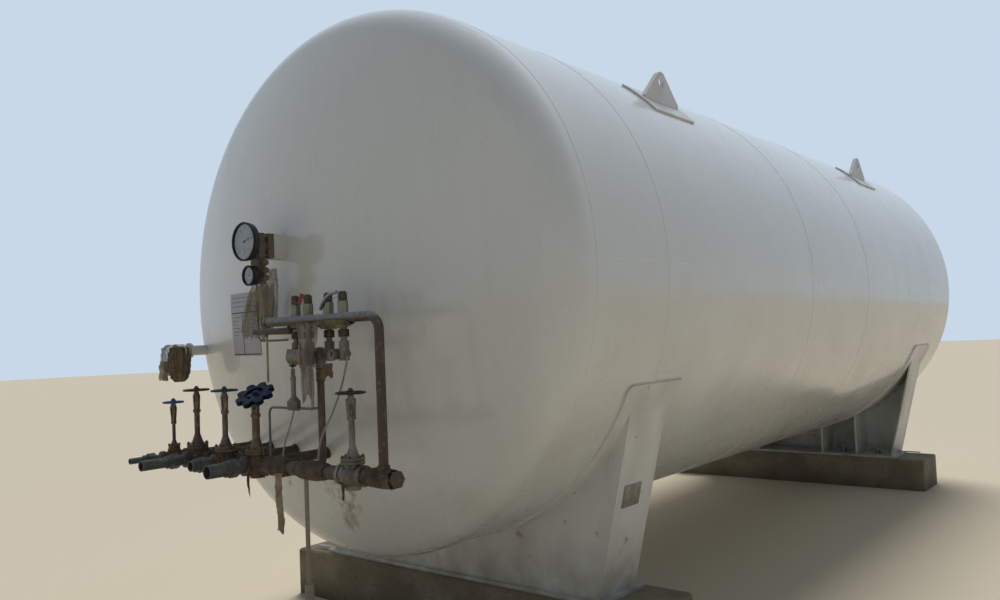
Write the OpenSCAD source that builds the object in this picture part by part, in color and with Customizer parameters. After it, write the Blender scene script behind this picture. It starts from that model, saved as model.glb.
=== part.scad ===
// Horizontal pressure tank: a long jacket with dished heads on two steel
// saddles and concrete plinths, with its valve station at the front head.
// x runs back along the tank, y to the far side, z up from the ground.

/* [Vessel] */
// Outer diameter of the jacket
shell_d = 2900; // [2760:20:3000]
// Length of the jacket between the seams of its two heads
shell_len = 6800; // [6600:50:7400]
// Thickness of the jacket and head plates
shell_t = 10; // [8:1:14]
// Depth of each dished head beyond its seam
head_depth = 490; // [460:10:540]
// Straight rim of each head
head_rim = 45; // [35:5:55]
// Radius of the knuckle that joins rim and crown
knuckle_r = 230; // [190:10:260]
// Length of the first course of plates
course_1_len = 657; // [600:1:700]
// Length of the second course of plates
course_2_len = 2069; // [1900:1:2200]
// Length of the third course of plates
course_3_len = 1273; // [1100:1:1400]
// Width of the weld on each round seam
weld_w = 16; // [10:1:22]
// Height of the weld on each round seam
weld_h = 1.5; // [1:0.5:3]
// Clearance between the ground and the lowest line of the jacket
belly_h = 550; // [530:10:700]

/* [Saddles] */
// Distance from each head seam to the nearer edge of its saddle
saddle_inset = 521; // [480:1:700]
// Length of each saddle along the tank
saddle_w = 363; // [320:1:420]
// Angle of the top corner of each saddle from the lowest line
saddle_angle = 60.4; // [58:0.1:62]
// How far each side of a saddle leans in from its top to its foot
saddle_lean = 237; // [200:1:280]
// Thickness of the upright saddle plates
saddle_t = 16; // [12:1:22]
// Height of each base plate above the ground
plinth_h = 300; // [260:5:320]
// Thickness of each base plate
base_t = 20; // [14:1:26]
// How far each base plate stands out past its saddle along the tank
base_lip = 30; // [20:5:45]
// How far each base plate stands out past its saddle at the sides
base_side = 38; // [20:2:60]
// Thickness of each wear pad
pad_t = 12; // [8:1:16]
// Length of each wear pad along the tank
pad_w = 587; // [540:1:620]
// Angle of each wear pad from the lowest line to its edge
pad_angle = 66.5; // [65:0.5:70]
// Radius of the corners of each wear pad
pad_corner = 55; // [20:5:80]
// Distance of the inner stiffeners from the middle plane
inner_rib_y = 345; // [250:5:420]
// Distance of the outer stiffeners from the middle plane
outer_rib_y = 690; // [600:5:780]
// Radius of the coped corner beside each end plate
cope_r = 28; // [15:1:35]

/* [Plinths] */
// Width of each plinth along the tank
plinth_w = 500; // [460:10:560]
// How far each plinth reaches past its base plate at the sides
plinth_side = 262; // [200:2:320]
// Chamfer on the upper edges of each plinth
plinth_edge = 12; // [5:1:20]

/* [Lifting lugs] */
// Distance from the front seam to the front lugs
lug_front_x = 1550; // [1400:10:1800]
// Distance from the rear seam to the rear lugs
lug_rear_x = 1300; // [1200:10:1600]
// Angle of the lug plates from the highest line of the jacket
lug_angle = 41.6; // [38:0.2:44]
// Thickness of each lug plate
lug_t = 30; // [20:1:40]
// Length of each lug at its foot
lug_foot = 410; // [340:5:440]
// Height of each lug above the jacket
lug_h = 205; // [190:5:230]
// Radius of the rounded top of each lug
lug_top_r = 62; // [56:1:70]
// Radius of the lifting eye
eye_r = 36; // [28:1:42]
// Length of each lug pad along the tank
lug_pad_len = 500; // [470:5:560]
// Width of each lug pad along the curve
lug_pad_w = 294; // [240:2:350]
// Height of the straight foot of each lug
lug_step = 12; // [8:1:16]

/* [Valve row] */
// Distance of the valve row ahead of the front seam
row_x = 800; // [760:5:860]
// Depth of the valve line below the tank axis
line_drop = 865; // [820:5:900]
// Radius of the main lines
line_r = 25; // [20:1:30]
// Radius of the level line at the far end of the row
thin_line_r = 15; // [12:1:18]
// Distance of the level valve from the middle plane
level_valve_y = 690; // [640:5:760]
// Distance of the bottom fill valve from the middle plane
bottom_fill_y = 465; // [440:5:500]
// Distance of the top fill valve from the middle plane
top_fill_y = 215; // [190:5:250]
// Distance of the outlet valve from the middle plane
outlet_valve_y = -40; // [-60:5:0]
// Distance of the bypass valve from the middle plane
bypass_valve_y = -720; // [-760:5:-700]
// Radius of a valve body
body_r = 54; // [46:1:58]
// Radius of the level valve body
level_body_r = 31; // [28:1:36]
// Half the length of a valve body
body_half = 74; // [66:1:84]
// Radius of the bonnet flanges
flange_r = 51; // [46:1:56]
// Thickness of one bonnet flange
flange_t = 11; // [8:1:14]
// Radius of the long bonnet tubes
bonnet_r = 13.5; // [11:0.5:16]
// Radius of the bonnet tube of the level valve
level_bonnet_r = 8.5; // [8:0.5:10]
// Radius of the bonnet tube of the outlet valve
outlet_bonnet_r = 18; // [15:0.5:20]
// Height of each yoke
yoke_h = 76; // [60:2:90]
// Height of the short yoke on the outlet valve
short_yoke_h = 44; // [40:2:60]
// Gap between each yoke and its handwheel's middle plane
yoke_gap = 12; // [11:1:20]
// Gap between the short yoke and the middle of the lobed handwheel
lobed_gap = 34; // [32:1:44]
// Radius of each valve stem
stem_r = 6; // [4:0.5:8]
// Running clearance round each stem
stem_gap = 0.4; // [0.3:0.1:0.8]
// Height of the handwheels above the valve line
wheel_rise = 341; // [320:1:380]
// Height of the level valve handwheel above the line
level_wheel_rise = 275; // [255:1:300]
// Radius of the plain handwheels
wheel_r = 65; // [55:1:75]
// Radius of the level valve handwheel
level_wheel_r = 54; // [45:1:60]
// Radius of the handwheel rims
rim_r = 5; // [4:0.5:8]
// Number of spokes of a plain handwheel
spokes = 3; // [3:1:5]
// Radius of the lobed handwheel
lobed_wheel_r = 92; // [80:1:98]
// Thickness of the lobed handwheel
lobed_wheel_t = 22; // [16:1:28]
// Height of the lobed handwheel above the line
lobed_wheel_rise = 322; // [310:1:350]
// Tilt of the lobed handwheel on its stem
lobed_tilt = 31; // [0:1:32]
// Distance of the outlet ends ahead of the front seam
outlet_reach = 1100; // [1060:5:1200]
// Width of the union nut on each outlet line
union_w = 40; // [30:1:50]

/* [Relief line] */
// Distance of the relief valves behind the valve row
relief_back = 55; // [50:1:70]
// Depth of the relief header below the tank axis
header_drop = 208; // [200:2:230]
// Radius of the relief header
header_r = 21; // [18:1:23]
// Distance of the far end of the header from the middle plane
header_start_y = -154; // [-180:2:-140]
// Depth of the vent line below the tank axis
vent_drop = 248; // [246:1:256]
// Radius of the vent line
vent_r = 14; // [11:1:15]
// Distance of the vent line's way out of the head from the middle plane
vent_y = 50; // [20:5:60]
// Distance of the drain tube below the vent line from the middle plane
drain_y = -69; // [-90:1:-50]
// Depth of the lower end of the drain tube below the tank axis
drain_drop = 488; // [440:4:520]
// Distance of the downcomer from the middle plane
downcomer_y = -908; // [-940:2:-900]
// Radius of the downcomer
downcomer_r = 20; // [17:1:22]
// Bend radius of the elbow on the downcomer
elbow_r = 60; // [50:5:80]
// Distance of the riser from the middle plane
riser_y = -457; // [-480:1:-440]
// Radius of the riser
riser_r = 16.5; // [14:0.5:20]
// Distance of the first relief valve from the middle plane
relief_1_y = -293; // [-310:1:-280]
// Distance of the second relief valve from the middle plane
relief_2_y = -384; // [-395:1:-370]
// Distance of the third relief valve from the middle plane
relief_3_y = -526; // [-540:1:-515]
// Distance of the fourth relief valve from the middle plane
relief_4_y = -624; // [-640:1:-615]
// Radius of a relief valve body
relief_r = 23; // [20:0.5:24]
// Height of a relief valve body above the header axis
relief_h = 74; // [60:2:84]
// Height of the cap on a relief valve
cap_h = 42; // [34:2:50]
// Radius of the cap on a relief valve, over its corners
cap_r = 20.5; // [17:0.5:21.5]
// Radius of the union nuts below the relief valves, over their corners
union_r = 25; // [22:0.5:27]
// Depth of the changeover bar below the tank axis
bar_drop = 362; // [350:1:380]
// Radius of the changeover bar
bar_r = 17; // [14:1:20]
// Radius of the casting below the first two relief valves
casting_r = 36; // [30:1:40]
// Radius of the indicator knob on the changeover bar
indicator_r = 24; // [18:1:28]
// Radius of the lower line
lower_r = 31; // [27:1:34]
// End of the lower line on the near side
manifold_end_y = -990; // [-1060:5:-985]
// Distance of the pipe prop from the middle plane
prop_y = -405; // [-440:5:-380]
// Radius of the upper tube of the prop
prop_r = 10; // [8:0.5:14]
// Radius of the lower sleeve of the prop
prop_sleeve_r = 20; // [17:1:26]
// Height of the sleeve of the prop above the ground
prop_sleeve_h = 640; // [500:10:800]

/* [Sampling tube] */
// Distance of the sampling valve from the middle plane
sample_y = -334; // [-345:1:-325]
// How far the sampling tube's upright stands from the sampling valve
sample_leg = 184; // [176:1:190]
// Depth of the sampling tube below the tank axis
sample_drop = 597; // [580:1:620]
// Radius of the small tubes
tube_r = 5.5; // [4:0.5:7]
// Bend radius of the small tubes
tube_bend = 30; // [24:1:36]
// Radius of the sampling valve's body
sample_r = 30; // [24:1:34]
// Height of the sampling valve's handle above its tube
sample_rise = 189; // [170:1:200]

/* [Gauges] */
// Distance of the gauges from the middle plane
gauge_y = 150; // [120:5:200]
// Distance of the level gauge's face ahead of the front seam
gauge_x = 710; // [680:5:740]
// Height of the level gauge above the tank axis
level_gauge_z = 204; // [190:2:230]
// Radius of the level gauge
level_gauge_r = 96; // [85:1:105]
// Depth of the level gauge case
level_gauge_t = 30; // [24:2:36]
// Height of the pressure gauge above the tank axis
pressure_gauge_z = 36; // [26:2:46]
// Radius of the pressure gauge
pressure_gauge_r = 50; // [44:1:54]
// Depth of the pressure gauge case
pressure_gauge_t = 36; // [30:2:40]
// Gap between the level gauge's case and its instrument body
gauge_neck = 24; // [16:2:30]
// Depth of the instrument body behind the level gauge
instrument_t = 90; // [80:2:100]
// Width of the instrument body
instrument_w = 96; // [84:2:110]
// Height of the instrument body
instrument_h = 124; // [116:2:136]
// How far the middle of the instrument body lies below the middle of the level gauge
instrument_low = 18; // [10:1:24]
// Width of the bracket between head and instrument
bracket_w = 76; // [60:2:90]
// Thickness of the bracket plates
bracket_t = 8; // [6:1:10]
// Height of the manifold block below the instrument
manifold_h = 128; // [110:2:140]
// Width of the manifold block
manifold_w = 64; // [56:2:76]
// Depth of the manifold block
manifold_t = 44; // [36:2:52]
// Depth of the gauge tubes' way into the head below the tank axis
gauge_tube_drop = 290; // [280:2:330]

/* [Fill nozzle] */
// Distance of the fill nozzle from the side of the jacket
nozzle_inset = 215; // [190:5:250]
// Depth of the fill nozzle below the tank axis
nozzle_drop = 327; // [300:5:350]
// Radius of the fill nozzle
nozzle_r = 30; // [24:1:36]
// Distance of the nozzle's end ahead of the front seam
nozzle_reach = 375; // [350:5:400]

/* [Hidden] */
$fn = 64;

shell_r = shell_d / 2;
// Curved faces on different pieces lie this far apart
seat = 0.3;
// Overlap of solids that are one piece
weld = 1;

// Crown radius that brings the dished head to its depth
crown_r = (pow(shell_r - knuckle_r, 2) + pow(head_depth - head_rim, 2) - knuckle_r * knuckle_r)
    / (2 * (head_depth - head_rim - knuckle_r));
// Distance from the head's axis at which crown and knuckle meet
tangent_r = crown_r * (shell_r - knuckle_r) / (crown_r - knuckle_r);
// Distance from the head seam to the head's outer face, at a distance r from the axis
function head_face(r) = r <= tangent_r
    ? head_depth - crown_r + sqrt(crown_r * crown_r - r * r)
    : head_rim + sqrt(pow(knuckle_r, 2) - pow(r - shell_r + knuckle_r, 2));

// The front seam lies here when the box of the whole tank is centred on x = 0
front_x = outlet_reach - (outlet_reach + shell_len + head_depth) / 2;
rear_seam = shell_len;

axis_h = belly_h + shell_r;
pad_inner = shell_r + seat;
pad_outer = pad_inner + pad_t;
pad_mid = saddle_inset + saddle_w / 2;
saddle_top = 2 * pad_outer * sin(saddle_angle);
saddle_foot = saddle_top - 2 * saddle_lean;
plinth_len = saddle_foot + 2 * base_side + 2 * plinth_side;
saddle_drop = axis_h - plinth_h - base_t;
saddle_seat = pad_outer + seat;
saddle_rise = sqrt(pow(pad_outer, 2) - pow(saddle_top / 2, 2));

row = -row_x;
relief_x = row + relief_back;
line_z = -line_drop;
stem_bore = stem_r + stem_gap;
nozzle_y = shell_r - nozzle_inset;
header_z = -header_drop;
union_z = header_z - relief_r - 58;
bar_z = -bar_drop;
gauge_face = -gauge_x;

// Cylinders along each axis between two places
module bar_x(r, a, b) { translate([a, 0, 0]) rotate([0, 90, 0]) cylinder(h = b - a, r = r); }
module bar_y(r, a, b) { translate([0, a, 0]) rotate([-90, 0, 0]) cylinder(h = b - a, r = r); }
module bar_z(r, a, b) { translate([0, 0, a]) cylinder(h = b - a, r = r); }

// Quarter bends: x = along x and z, y = along y and z, starting at angle from
module bend_xz(r, bend, from) { rotate([90, 0, 0]) rotate([0, 0, from]) quarter(r, bend); }
module bend_yz(r, bend, from) { rotate([90, 0, 90]) rotate([0, 0, from]) quarter(r, bend); }
module bend_xy(r, bend, from) { rotate([0, 0, from]) quarter(r, bend); }
module quarter(r, bend) { rotate_extrude(angle = 90) translate([bend, 0]) circle(r = r); }

// Places its children in the tank's own frame: front seam at x = 0, axis at z = 0
module in_tank() { translate([front_x, 0, axis_h]) children(); }
// Turns a shape so that its x points down and its z runs back along the tank
module lay() { rotate([0, 90, 0]) children(); }
// Mirrors its children from the front half of the tank to the rear half
module at_rear() { translate([rear_seam, 0, 0]) mirror([1, 0, 0]) children(); }

// Outline of a dished head, grown or shrunk evenly by grow
module head_outline(grow) {
    difference() {
        union() {
            square([shell_r + grow, head_rim]);
            intersection() {
                translate([0, head_depth - crown_r]) circle(r = crown_r + grow, $fn = 360);
                square([tangent_r, 2 * head_depth]);
            }
            intersection() {
                translate([shell_r - knuckle_r, head_rim]) circle(r = knuckle_r + grow, $fn = 96);
                translate([tangent_r, 0]) square([shell_r, 2 * head_depth]);
            }
        }
        translate([-shell_r, -head_depth]) square([3 * shell_r, head_depth]);
    }
}

// Everything inside the outer face of the front head, with a small seat
module inside_front_head() {
    rotate([0, -90, 0]) rotate_extrude($fn = 180) head_outline(seat);
}

module head() {
    rotate_extrude($fn = 180) difference() {
        head_outline(0);
        head_outline(-shell_t);
    }
}

module course(start, len) {
    translate([start, 0, 0]) lay() {
        difference() {
            cylinder(h = len, r = shell_r, $fn = 180);
            translate([0, 0, -weld]) cylinder(h = len + 2 * weld, r = shell_r - shell_t, $fn = 180);
        }
        if (!under_pad(start) && !under_pad(shell_len - start)) seam_bead();
    }
}

// Whether a round seam at this distance from a head seam runs below a wear pad, where it is ground flush
function under_pad(x) = abs(x - pad_mid) < pad_w / 2 + 2 * weld_w;

// Weld on a round seam
module seam_bead() {
    rotate_extrude($fn = 180) translate([shell_r, weld_w / 2 + weld])
        polygon([[-weld, -weld_w / 2], [0, -weld_w / 2], [weld_h, -weld_w / 4], [weld_h, weld_w / 4],
            [0, weld_w / 2], [-weld, weld_w / 2]]);
}

// Curved plate on the jacket between two angles from the lowest line
module curved_pad(len, from, to) {
    lay() rotate([0, 0, from]) rotate_extrude(angle = to - from, $fn = 180)
        translate([pad_inner, -len / 2]) square([pad_t, len]);
}

// Wear pad: a curved plate with its four corners rounded
module wear_pad() {
    translate([pad_mid, 0, 0]) difference() {
        curved_pad(pad_w, -pad_angle, pad_angle);
        lay() for (edge = [-1, 1], side = [-1, 1]) rotate([0, 0, edge * pad_angle])
            translate([pad_inner, 0, side * (pad_w / 2 - pad_corner)]) pad_corner_cut(pad_corner, -edge, side);
    }
}

// What is cut from one corner of a curved plate to round it
module pad_corner_cut(corner, turn, side) {
    translate([-pad_t, turn * corner, 0]) difference() {
        translate([0, turn > 0 ? -corner - weld : 0, side > 0 ? 0 : -corner - weld])
            cube([3 * pad_t, corner + weld, corner + weld]);
        translate([-weld, 0, 0]) rotate([0, 90, 0]) cylinder(h = 4 * pad_t, r = corner);
    }
}

// Outline of a saddle seen along the tank, x down
module saddle_outline(inset) {
    polygon([[saddle_drop, -saddle_foot / 2 + inset], [saddle_drop, saddle_foot / 2 - inset],
        [saddle_rise - pad_t, saddle_top / 2 + pad_t * side_slope - inset],
        [saddle_rise - pad_t, -saddle_top / 2 - pad_t * side_slope + inset]]);
}
side_slope = (saddle_top - saddle_foot) / 2 / (saddle_drop - saddle_rise);
// Width of an end plate's cut across its slanted thickness
side_t = saddle_t * sqrt(1 + side_slope * side_slope);

module saddle_web() {
    translate([saddle_inset, 0, 0]) lay() linear_extrude(saddle_t) difference() {
        saddle_outline(side_t);
        circle(r = saddle_seat, $fn = 180);
        for (side = [-1, 1]) translate([cope_x, side * cope_y]) circle(r = cope_r);
    }
}
// Where the web's side, the pad and the end plate meet
cope_y = saddle_top / 2 - side_t - 4;
cope_x = sqrt(pow(saddle_seat, 2) - pow(cope_y, 2));

module saddle_end_plates() {
    translate([saddle_inset, 0, 0]) lay() linear_extrude(saddle_w) difference() {
        saddle_outline(0);
        saddle_outline(side_t);
        circle(r = saddle_seat, $fn = 180);
    }
}

module saddle_ribs() {
    translate([saddle_inset + saddle_t, 0, 0]) lay() linear_extrude(saddle_w - saddle_t) difference() {
        for (y = [-outer_rib_y, -inner_rib_y, inner_rib_y, outer_rib_y])
            translate([saddle_rise, y - saddle_t / 2]) square([saddle_drop - saddle_rise, saddle_t]);
        circle(r = saddle_seat, $fn = 180);
    }
}

module base_plate() {
    translate([saddle_inset - base_lip, -saddle_foot / 2 - base_side, -saddle_drop - base_t])
        cube([saddle_w + 2 * base_lip, saddle_foot + 2 * base_side, base_t]);
}

module plinth() {
    translate([pad_mid, 0, -axis_h]) intersection() {
        rotate([90, 0, 0]) translate([0, 0, -plinth_len / 2]) linear_extrude(plinth_len)
            plinth_outline(plinth_w);
        rotate([90, 0, 90]) translate([0, 0, -plinth_w / 2]) linear_extrude(plinth_w)
            plinth_outline(plinth_len);
    }
}

module plinth_outline(w) {
    polygon([[-w / 2, 0], [w / 2, 0], [w / 2, plinth_h - plinth_edge], [w / 2 - plinth_edge, plinth_h],
        [-w / 2 + plinth_edge, plinth_h], [-w / 2, plinth_h - plinth_edge]]);
}

lug_y = pad_outer * sin(lug_angle);
lug_pad_arc = lug_pad_w / pad_outer * 180 / PI;
lug_seat = sqrt(pow(pad_outer, 2) - pow(lug_y, 2));
lug_top_z = sqrt(pow(shell_r, 2) - pow(lug_y, 2)) + lug_h;

module lug_pad(side) {
    middle = 180 - side * lug_angle;
    curved_pad(lug_pad_len, middle - lug_pad_arc / 2, middle + lug_pad_arc / 2);
}

// Lug plate: a foot that narrows to a round top with the lifting eye
module lug(side) {
    eye_z = lug_top_z - lug_top_r;
    foot_z = lug_seat - lug_t;
    reach = sqrt(pow(lug_foot / 2, 2) + pow(eye_z - lug_seat, 2));
    turn = acos(lug_top_r / reach) - atan2(eye_z - lug_seat, lug_foot / 2);
    tip = [lug_top_r * cos(turn), eye_z + lug_top_r * sin(turn)];
    difference() {
        translate([0, side * lug_y + lug_t / 2, 0]) rotate([90, 0, 0]) linear_extrude(lug_t) difference() {
            union() {
                polygon([[-lug_foot / 2, foot_z], [lug_foot / 2, foot_z], [lug_foot / 2, lug_seat + lug_step], tip,
                    [-tip[0], tip[1]], [-lug_foot / 2, lug_seat + lug_step]]);
                translate([0, eye_z]) circle(r = lug_top_r);
            }
            translate([0, eye_z]) circle(r = eye_r);
        }
        translate([-lug_foot, 0, 0]) lay() cylinder(h = 2 * lug_foot, r = pad_outer + seat, $fn = 180);
    }
}

module at_lugs() {
    for (x = [lug_front_x, shell_len - lug_rear_x], side = [-1, 1])
        translate([x, 0, 0]) if (side > 0) children(0); else children(1);
}

// Line from the front head to the valve row, with a collar at the head
module head_line(y, r) {
    collar_x = -head_face(sqrt(y * y + line_drop * line_drop));
    translate([0, y, line_z]) {
        bar_x(r, row + body_half, 0);
        bar_x(r + collar_t, collar_x - 2 * collar_t, 0);
    }
}
// How far the collars of the lines stand out
collar_t = 6;

// Valve body on a line along x, with a long bonnet tube and a yoke above it
module valve(line, rise, r = body_r, tube = bonnet_r, frame = yoke_h, gap = yoke_gap) {
    lip_r = flange_r * r / body_r;
    flange_z = r * 0.9;
    cone_z = flange_z + 2 * flange_t + flange_gap;
    cone_h = r * 0.9;
    yoke_z = rise - gap - frame - bush_h;
    difference() {
        union() {
            sphere(r = r);
            bar_x(line + sleeve_t, -body_half, body_half);
            bar_x(line + sleeve_rim_t, -body_half, -body_half + sleeve_rim_w);
            bar_x(line + sleeve_rim_t, body_half - sleeve_rim_w, body_half);
            bar_z(r * 0.6, -r - boss_h, 0);
            bar_z(r * 0.78, 0, flange_z + flange_t);
            bar_z(lip_r, flange_z, flange_z + flange_t);
            bar_z(lip_r - flange_t, flange_z, cone_z);
            bar_z(lip_r, cone_z - flange_t, cone_z);
            translate([0, 0, cone_z]) cylinder(h = cone_h, r1 = r * 0.55, r2 = tube);
            bar_z(tube, cone_z, yoke_z + weld);
            bar_z(tube + gland_t, yoke_z - gland_h, yoke_z + weld);
            yoke(yoke_z, tube, frame);
        }
        bar_z(stem_bore, yoke_z - gland_h, rise);
    }
}
// Sleeves at both ends of a valve body, and the rims on them
sleeve_t = 9;
sleeve_rim_t = 14;
sleeve_rim_w = 18;
// Drain boss below a valve body, and the gap between its two bonnet flanges
boss_h = 7;
flange_gap = 3;
// Gland at the top of a bonnet tube
gland_t = 5;
gland_h = 14;

// Two legs that spread upwards and carry the stem's bush
module yoke(z, tube, frame) {
    foot = tube + gland_t;
    window = [yoke_w - yoke_leg, frame - yoke_leg];
    translate([-yoke_t / 2, 0, z]) rotate([90, 0, 90]) linear_extrude(yoke_t) difference() {
        polygon([[-foot, 0], [foot, 0], [yoke_w, frame - yoke_leg], [yoke_w - yoke_leg / 2, frame],
            [yoke_leg / 2 - yoke_w, frame], [-yoke_w, frame - yoke_leg]]);
        polygon([[-stem_bore, yoke_leg], [stem_bore, yoke_leg], window, [-window[0], window[1]]]);
    }
    bar_z(bush_r, z + frame - bush_h, z + frame + bush_h);
}
// Half width of a yoke at its shoulders, its thickness, and the width of a leg
yoke_w = 24;
yoke_t = 13;
yoke_leg = 7;
// Bush at the top of a yoke
bush_r = 14;
bush_h = 10;

module at_valve(y) { translate([row, y, line_z]) children(); }

// Stem from the gland of a valve up through its handwheel
module stem(rise, frame = yoke_h, gap = yoke_gap) {
    bar_z(stem_r, rise - gap - frame - bush_h - gland_h + weld, rise + hub_h + stem_tip);
}
// How far a stem stands out of its handwheel's hub, and half the height of that hub
stem_tip = 4;
hub_h = 10;
hub_r = 13;

// Plain handwheel with round spokes, on its stem
module handwheel(r, rise) {
    stem(rise);
    translate([0, 0, rise]) {
        rotate_extrude() translate([r - rim_r, 0]) circle(r = rim_r, $fn = 24);
        bar_z(hub_r, -hub_h, hub_h);
        for (i = [0:spokes - 1]) rotate([0, 0, (i + 0.2) * 360 / spokes]) bar_x(rim_r * 0.8, 0, r - rim_r);
    }
}

// Thick handwheel with eight lobes, hung askew on its stem
module lobed_handwheel(r, rise) {
    lobe_r = r * 0.23;
    spoke_w = r * 0.3;
    stem(rise, short_yoke_h, lobed_gap);
    bar_z(hub_r, rise - hub_h, rise + hub_h);
    translate([0, 0, rise]) rotate([0, 0, lean_way]) rotate([lobed_tilt, 0, 0]) {
        translate([0, 0, -lobed_wheel_t / 2]) linear_extrude(lobed_wheel_t) difference() {
            union() {
                circle(r = r - lobe_r * 1.2);
                for (i = [0:7]) rotate(i * 45) translate([r - lobe_r, 0]) circle(r = lobe_r, $fn = 32);
            }
            circle(r = r * 0.5);
        }
        translate([0, 0, -lobed_wheel_t / 4]) linear_extrude(lobed_wheel_t / 2) {
            circle(r = r * 0.28);
            for (i = [0:3]) rotate((i + 0.25) * 90) translate([0, -spoke_w / 2]) square([r * 0.6, spoke_w]);
        }
    }
}
// Turn about its stem at which the lobed handwheel leans
lean_way = -70;

module front_head() { color("gainsboro") in_tank() rotate([0, -90, 0]) head(); }
module rear_head() { color("gainsboro") in_tank() translate([rear_seam, 0, 0]) rotate([0, 90, 0]) head(); }
module first_course() { color("whitesmoke") in_tank() course(0, course_1_len); }
module second_course() { color("whitesmoke") in_tank() course(course_1_len, course_2_len); }
module third_course() { color("whitesmoke") in_tank() course(course_1_len + course_2_len, course_3_len); }
module fourth_course() {
    start = course_1_len + course_2_len + course_3_len;
    color("whitesmoke") in_tank() course(start, shell_len - start);
}

module front_wear_pad() { color("white") in_tank() wear_pad(); }
module rear_wear_pad() { color("white") in_tank() at_rear() wear_pad(); }
module front_saddle_web() { color("white") in_tank() saddle_web(); }
module rear_saddle_web() { color("white") in_tank() at_rear() saddle_web(); }
module front_saddle_end_plates() { color("white") in_tank() saddle_end_plates(); }
module rear_saddle_end_plates() { color("white") in_tank() at_rear() saddle_end_plates(); }
module front_saddle_ribs() { color("white") in_tank() saddle_ribs(); }
module rear_saddle_ribs() { color("white") in_tank() at_rear() saddle_ribs(); }
module front_base_plate() { color("white") in_tank() base_plate(); }
module rear_base_plate() { color("white") in_tank() at_rear() base_plate(); }
module front_plinth() { color("darkgray") in_tank() plinth(); }
module rear_plinth() { color("darkgray") in_tank() at_rear() plinth(); }

module lug_pads() { color("white") in_tank() at_lugs() { lug_pad(1); lug_pad(-1); } }
module lifting_lugs() { color("white") in_tank() at_lugs() { lug(1); lug(-1); } }

module head_lines() {
    color("dimgray") in_tank() difference() {
        union() {
            head_line(level_valve_y, thin_line_r);
            head_line(bottom_fill_y, line_r);
            head_line(top_fill_y, line_r);
            head_line(outlet_valve_y, line_r);
        }
        inside_front_head();
    }
}

module level_valve() {
    color("saddlebrown") in_tank() at_valve(level_valve_y)
        valve(thin_line_r, level_wheel_rise, r = level_body_r, tube = level_bonnet_r);
}
module bottom_fill_valve() {
    color("saddlebrown") in_tank() at_valve(bottom_fill_y) valve(line_r, wheel_rise);
}
module top_fill_valve() {
    color("saddlebrown") in_tank() at_valve(top_fill_y) valve(line_r, wheel_rise);
}
// The outlet valve also feeds the lower line through a branch on its near side
module outlet_valve() {
    color("saddlebrown") in_tank() at_valve(outlet_valve_y) {
        valve(lower_r, lobed_wheel_rise, tube = outlet_bonnet_r, frame = short_yoke_h, gap = lobed_gap);
        bar_y(lower_r + 9, -body_half, 0);
    }
}
module bypass_valve() {
    color("slategray") in_tank() at_valve(bypass_valve_y) rotate([0, 0, 90]) valve(lower_r, wheel_rise);
}

module level_handwheel() {
    color("royalblue") in_tank() at_valve(level_valve_y) handwheel(level_wheel_r, level_wheel_rise);
}
module bottom_fill_handwheel() {
    color("saddlebrown") in_tank() at_valve(bottom_fill_y) handwheel(wheel_r, wheel_rise);
}
module top_fill_handwheel() {
    color("teal") in_tank() at_valve(top_fill_y) handwheel(wheel_r, wheel_rise);
}
module outlet_handwheel() {
    color("navy") in_tank() at_valve(outlet_valve_y) lobed_handwheel(lobed_wheel_r, lobed_wheel_rise);
}
module bypass_handwheel() {
    color("black") in_tank() at_valve(bypass_valve_y) handwheel(wheel_r, wheel_rise);
}

// Short line ahead of a valve that ends in a union nut and an open pipe end
module outlet_line(y, r, end) {
    nut = row - body_half - union_gap;
    tail = nut - union_w / 2;
    translate([0, y, line_z]) difference() {
        union() {
            bar_x(r, -end, row - body_half);
            translate([nut, 0, 0]) lay() cylinder(h = union_w, r = r + 2 * collar_t, $fn = 6);
            bar_x(r + collar_t, tail, nut);
        }
        bar_x(r - pipe_t, -end - weld, nut);
    }
}
// Distance from a valve body to the far side of the union nut ahead of it, and the wall of an open pipe end
union_gap = 75;
pipe_t = 4;
module outlet_lines() {
    color("silver") in_tank() {
        outlet_line(level_valve_y, thin_line_r, outlet_reach - 60);
        outlet_line(bottom_fill_y, line_r, outlet_reach);
        outlet_line(top_fill_y, line_r, outlet_reach - 110);
        outlet_line(outlet_valve_y, lower_r, outlet_reach - 40);
    }
}

// Lower line from the outlet valve through the bypass valve to its capped end
module lower_line() {
    near = bypass_valve_y + body_half;
    color("saddlebrown") in_tank() translate([row, 0, line_z]) {
        bar_y(lower_r, near, outlet_valve_y - body_half);
        bar_y(lower_r, manifold_end_y, bypass_valve_y - body_half);
        translate([0, manifold_end_y, 0]) rotate([-90, 0, 0]) cylinder(h = lower_r * 0.7, r = lower_r + tee_t, $fn = 6);
        for (y = [riser_y, downcomer_y]) bar_y(lower_r + tee_t, y - tee_half, y + tee_half);
        translate([0, downcomer_y, 0]) bar_z(downcomer_r + tee_t, 0, lower_r + tee_h);
    }
}
// How far the tees stand out from the lower line, along it and upwards
tee_t = 6;
tee_half = 44;
tee_h = 20;

// Riser from the lower line up to the changeover bar, set back on an elbow
module riser() {
    top = bar_z - bar_boss;
    color("sienna") in_tank() difference() {
        translate([0, riser_y, 0]) {
            translate([row, 0, line_z + relief_back]) bend_xz(riser_r, relief_back, 270);
            translate([relief_x, 0, 0]) {
                bar_z(riser_r, line_z + relief_back, top);
                bar_z(riser_r + 4, top - 2.5 * union_h, top - union_h - collar_t);
                translate([0, 0, top - union_h]) cylinder(h = union_h, r = riser_r + collar_t, $fn = 6);
            }
        }
        translate([row, 0, line_z]) bar_y(lower_r + tee_t + seat, riser_y - tee_half, riser_y + tee_half);
    }
}
// Reach of the changeover bar's lower boss below its axis, and height of the union nuts round it
bar_boss = 38;
union_h = 32;

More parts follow.
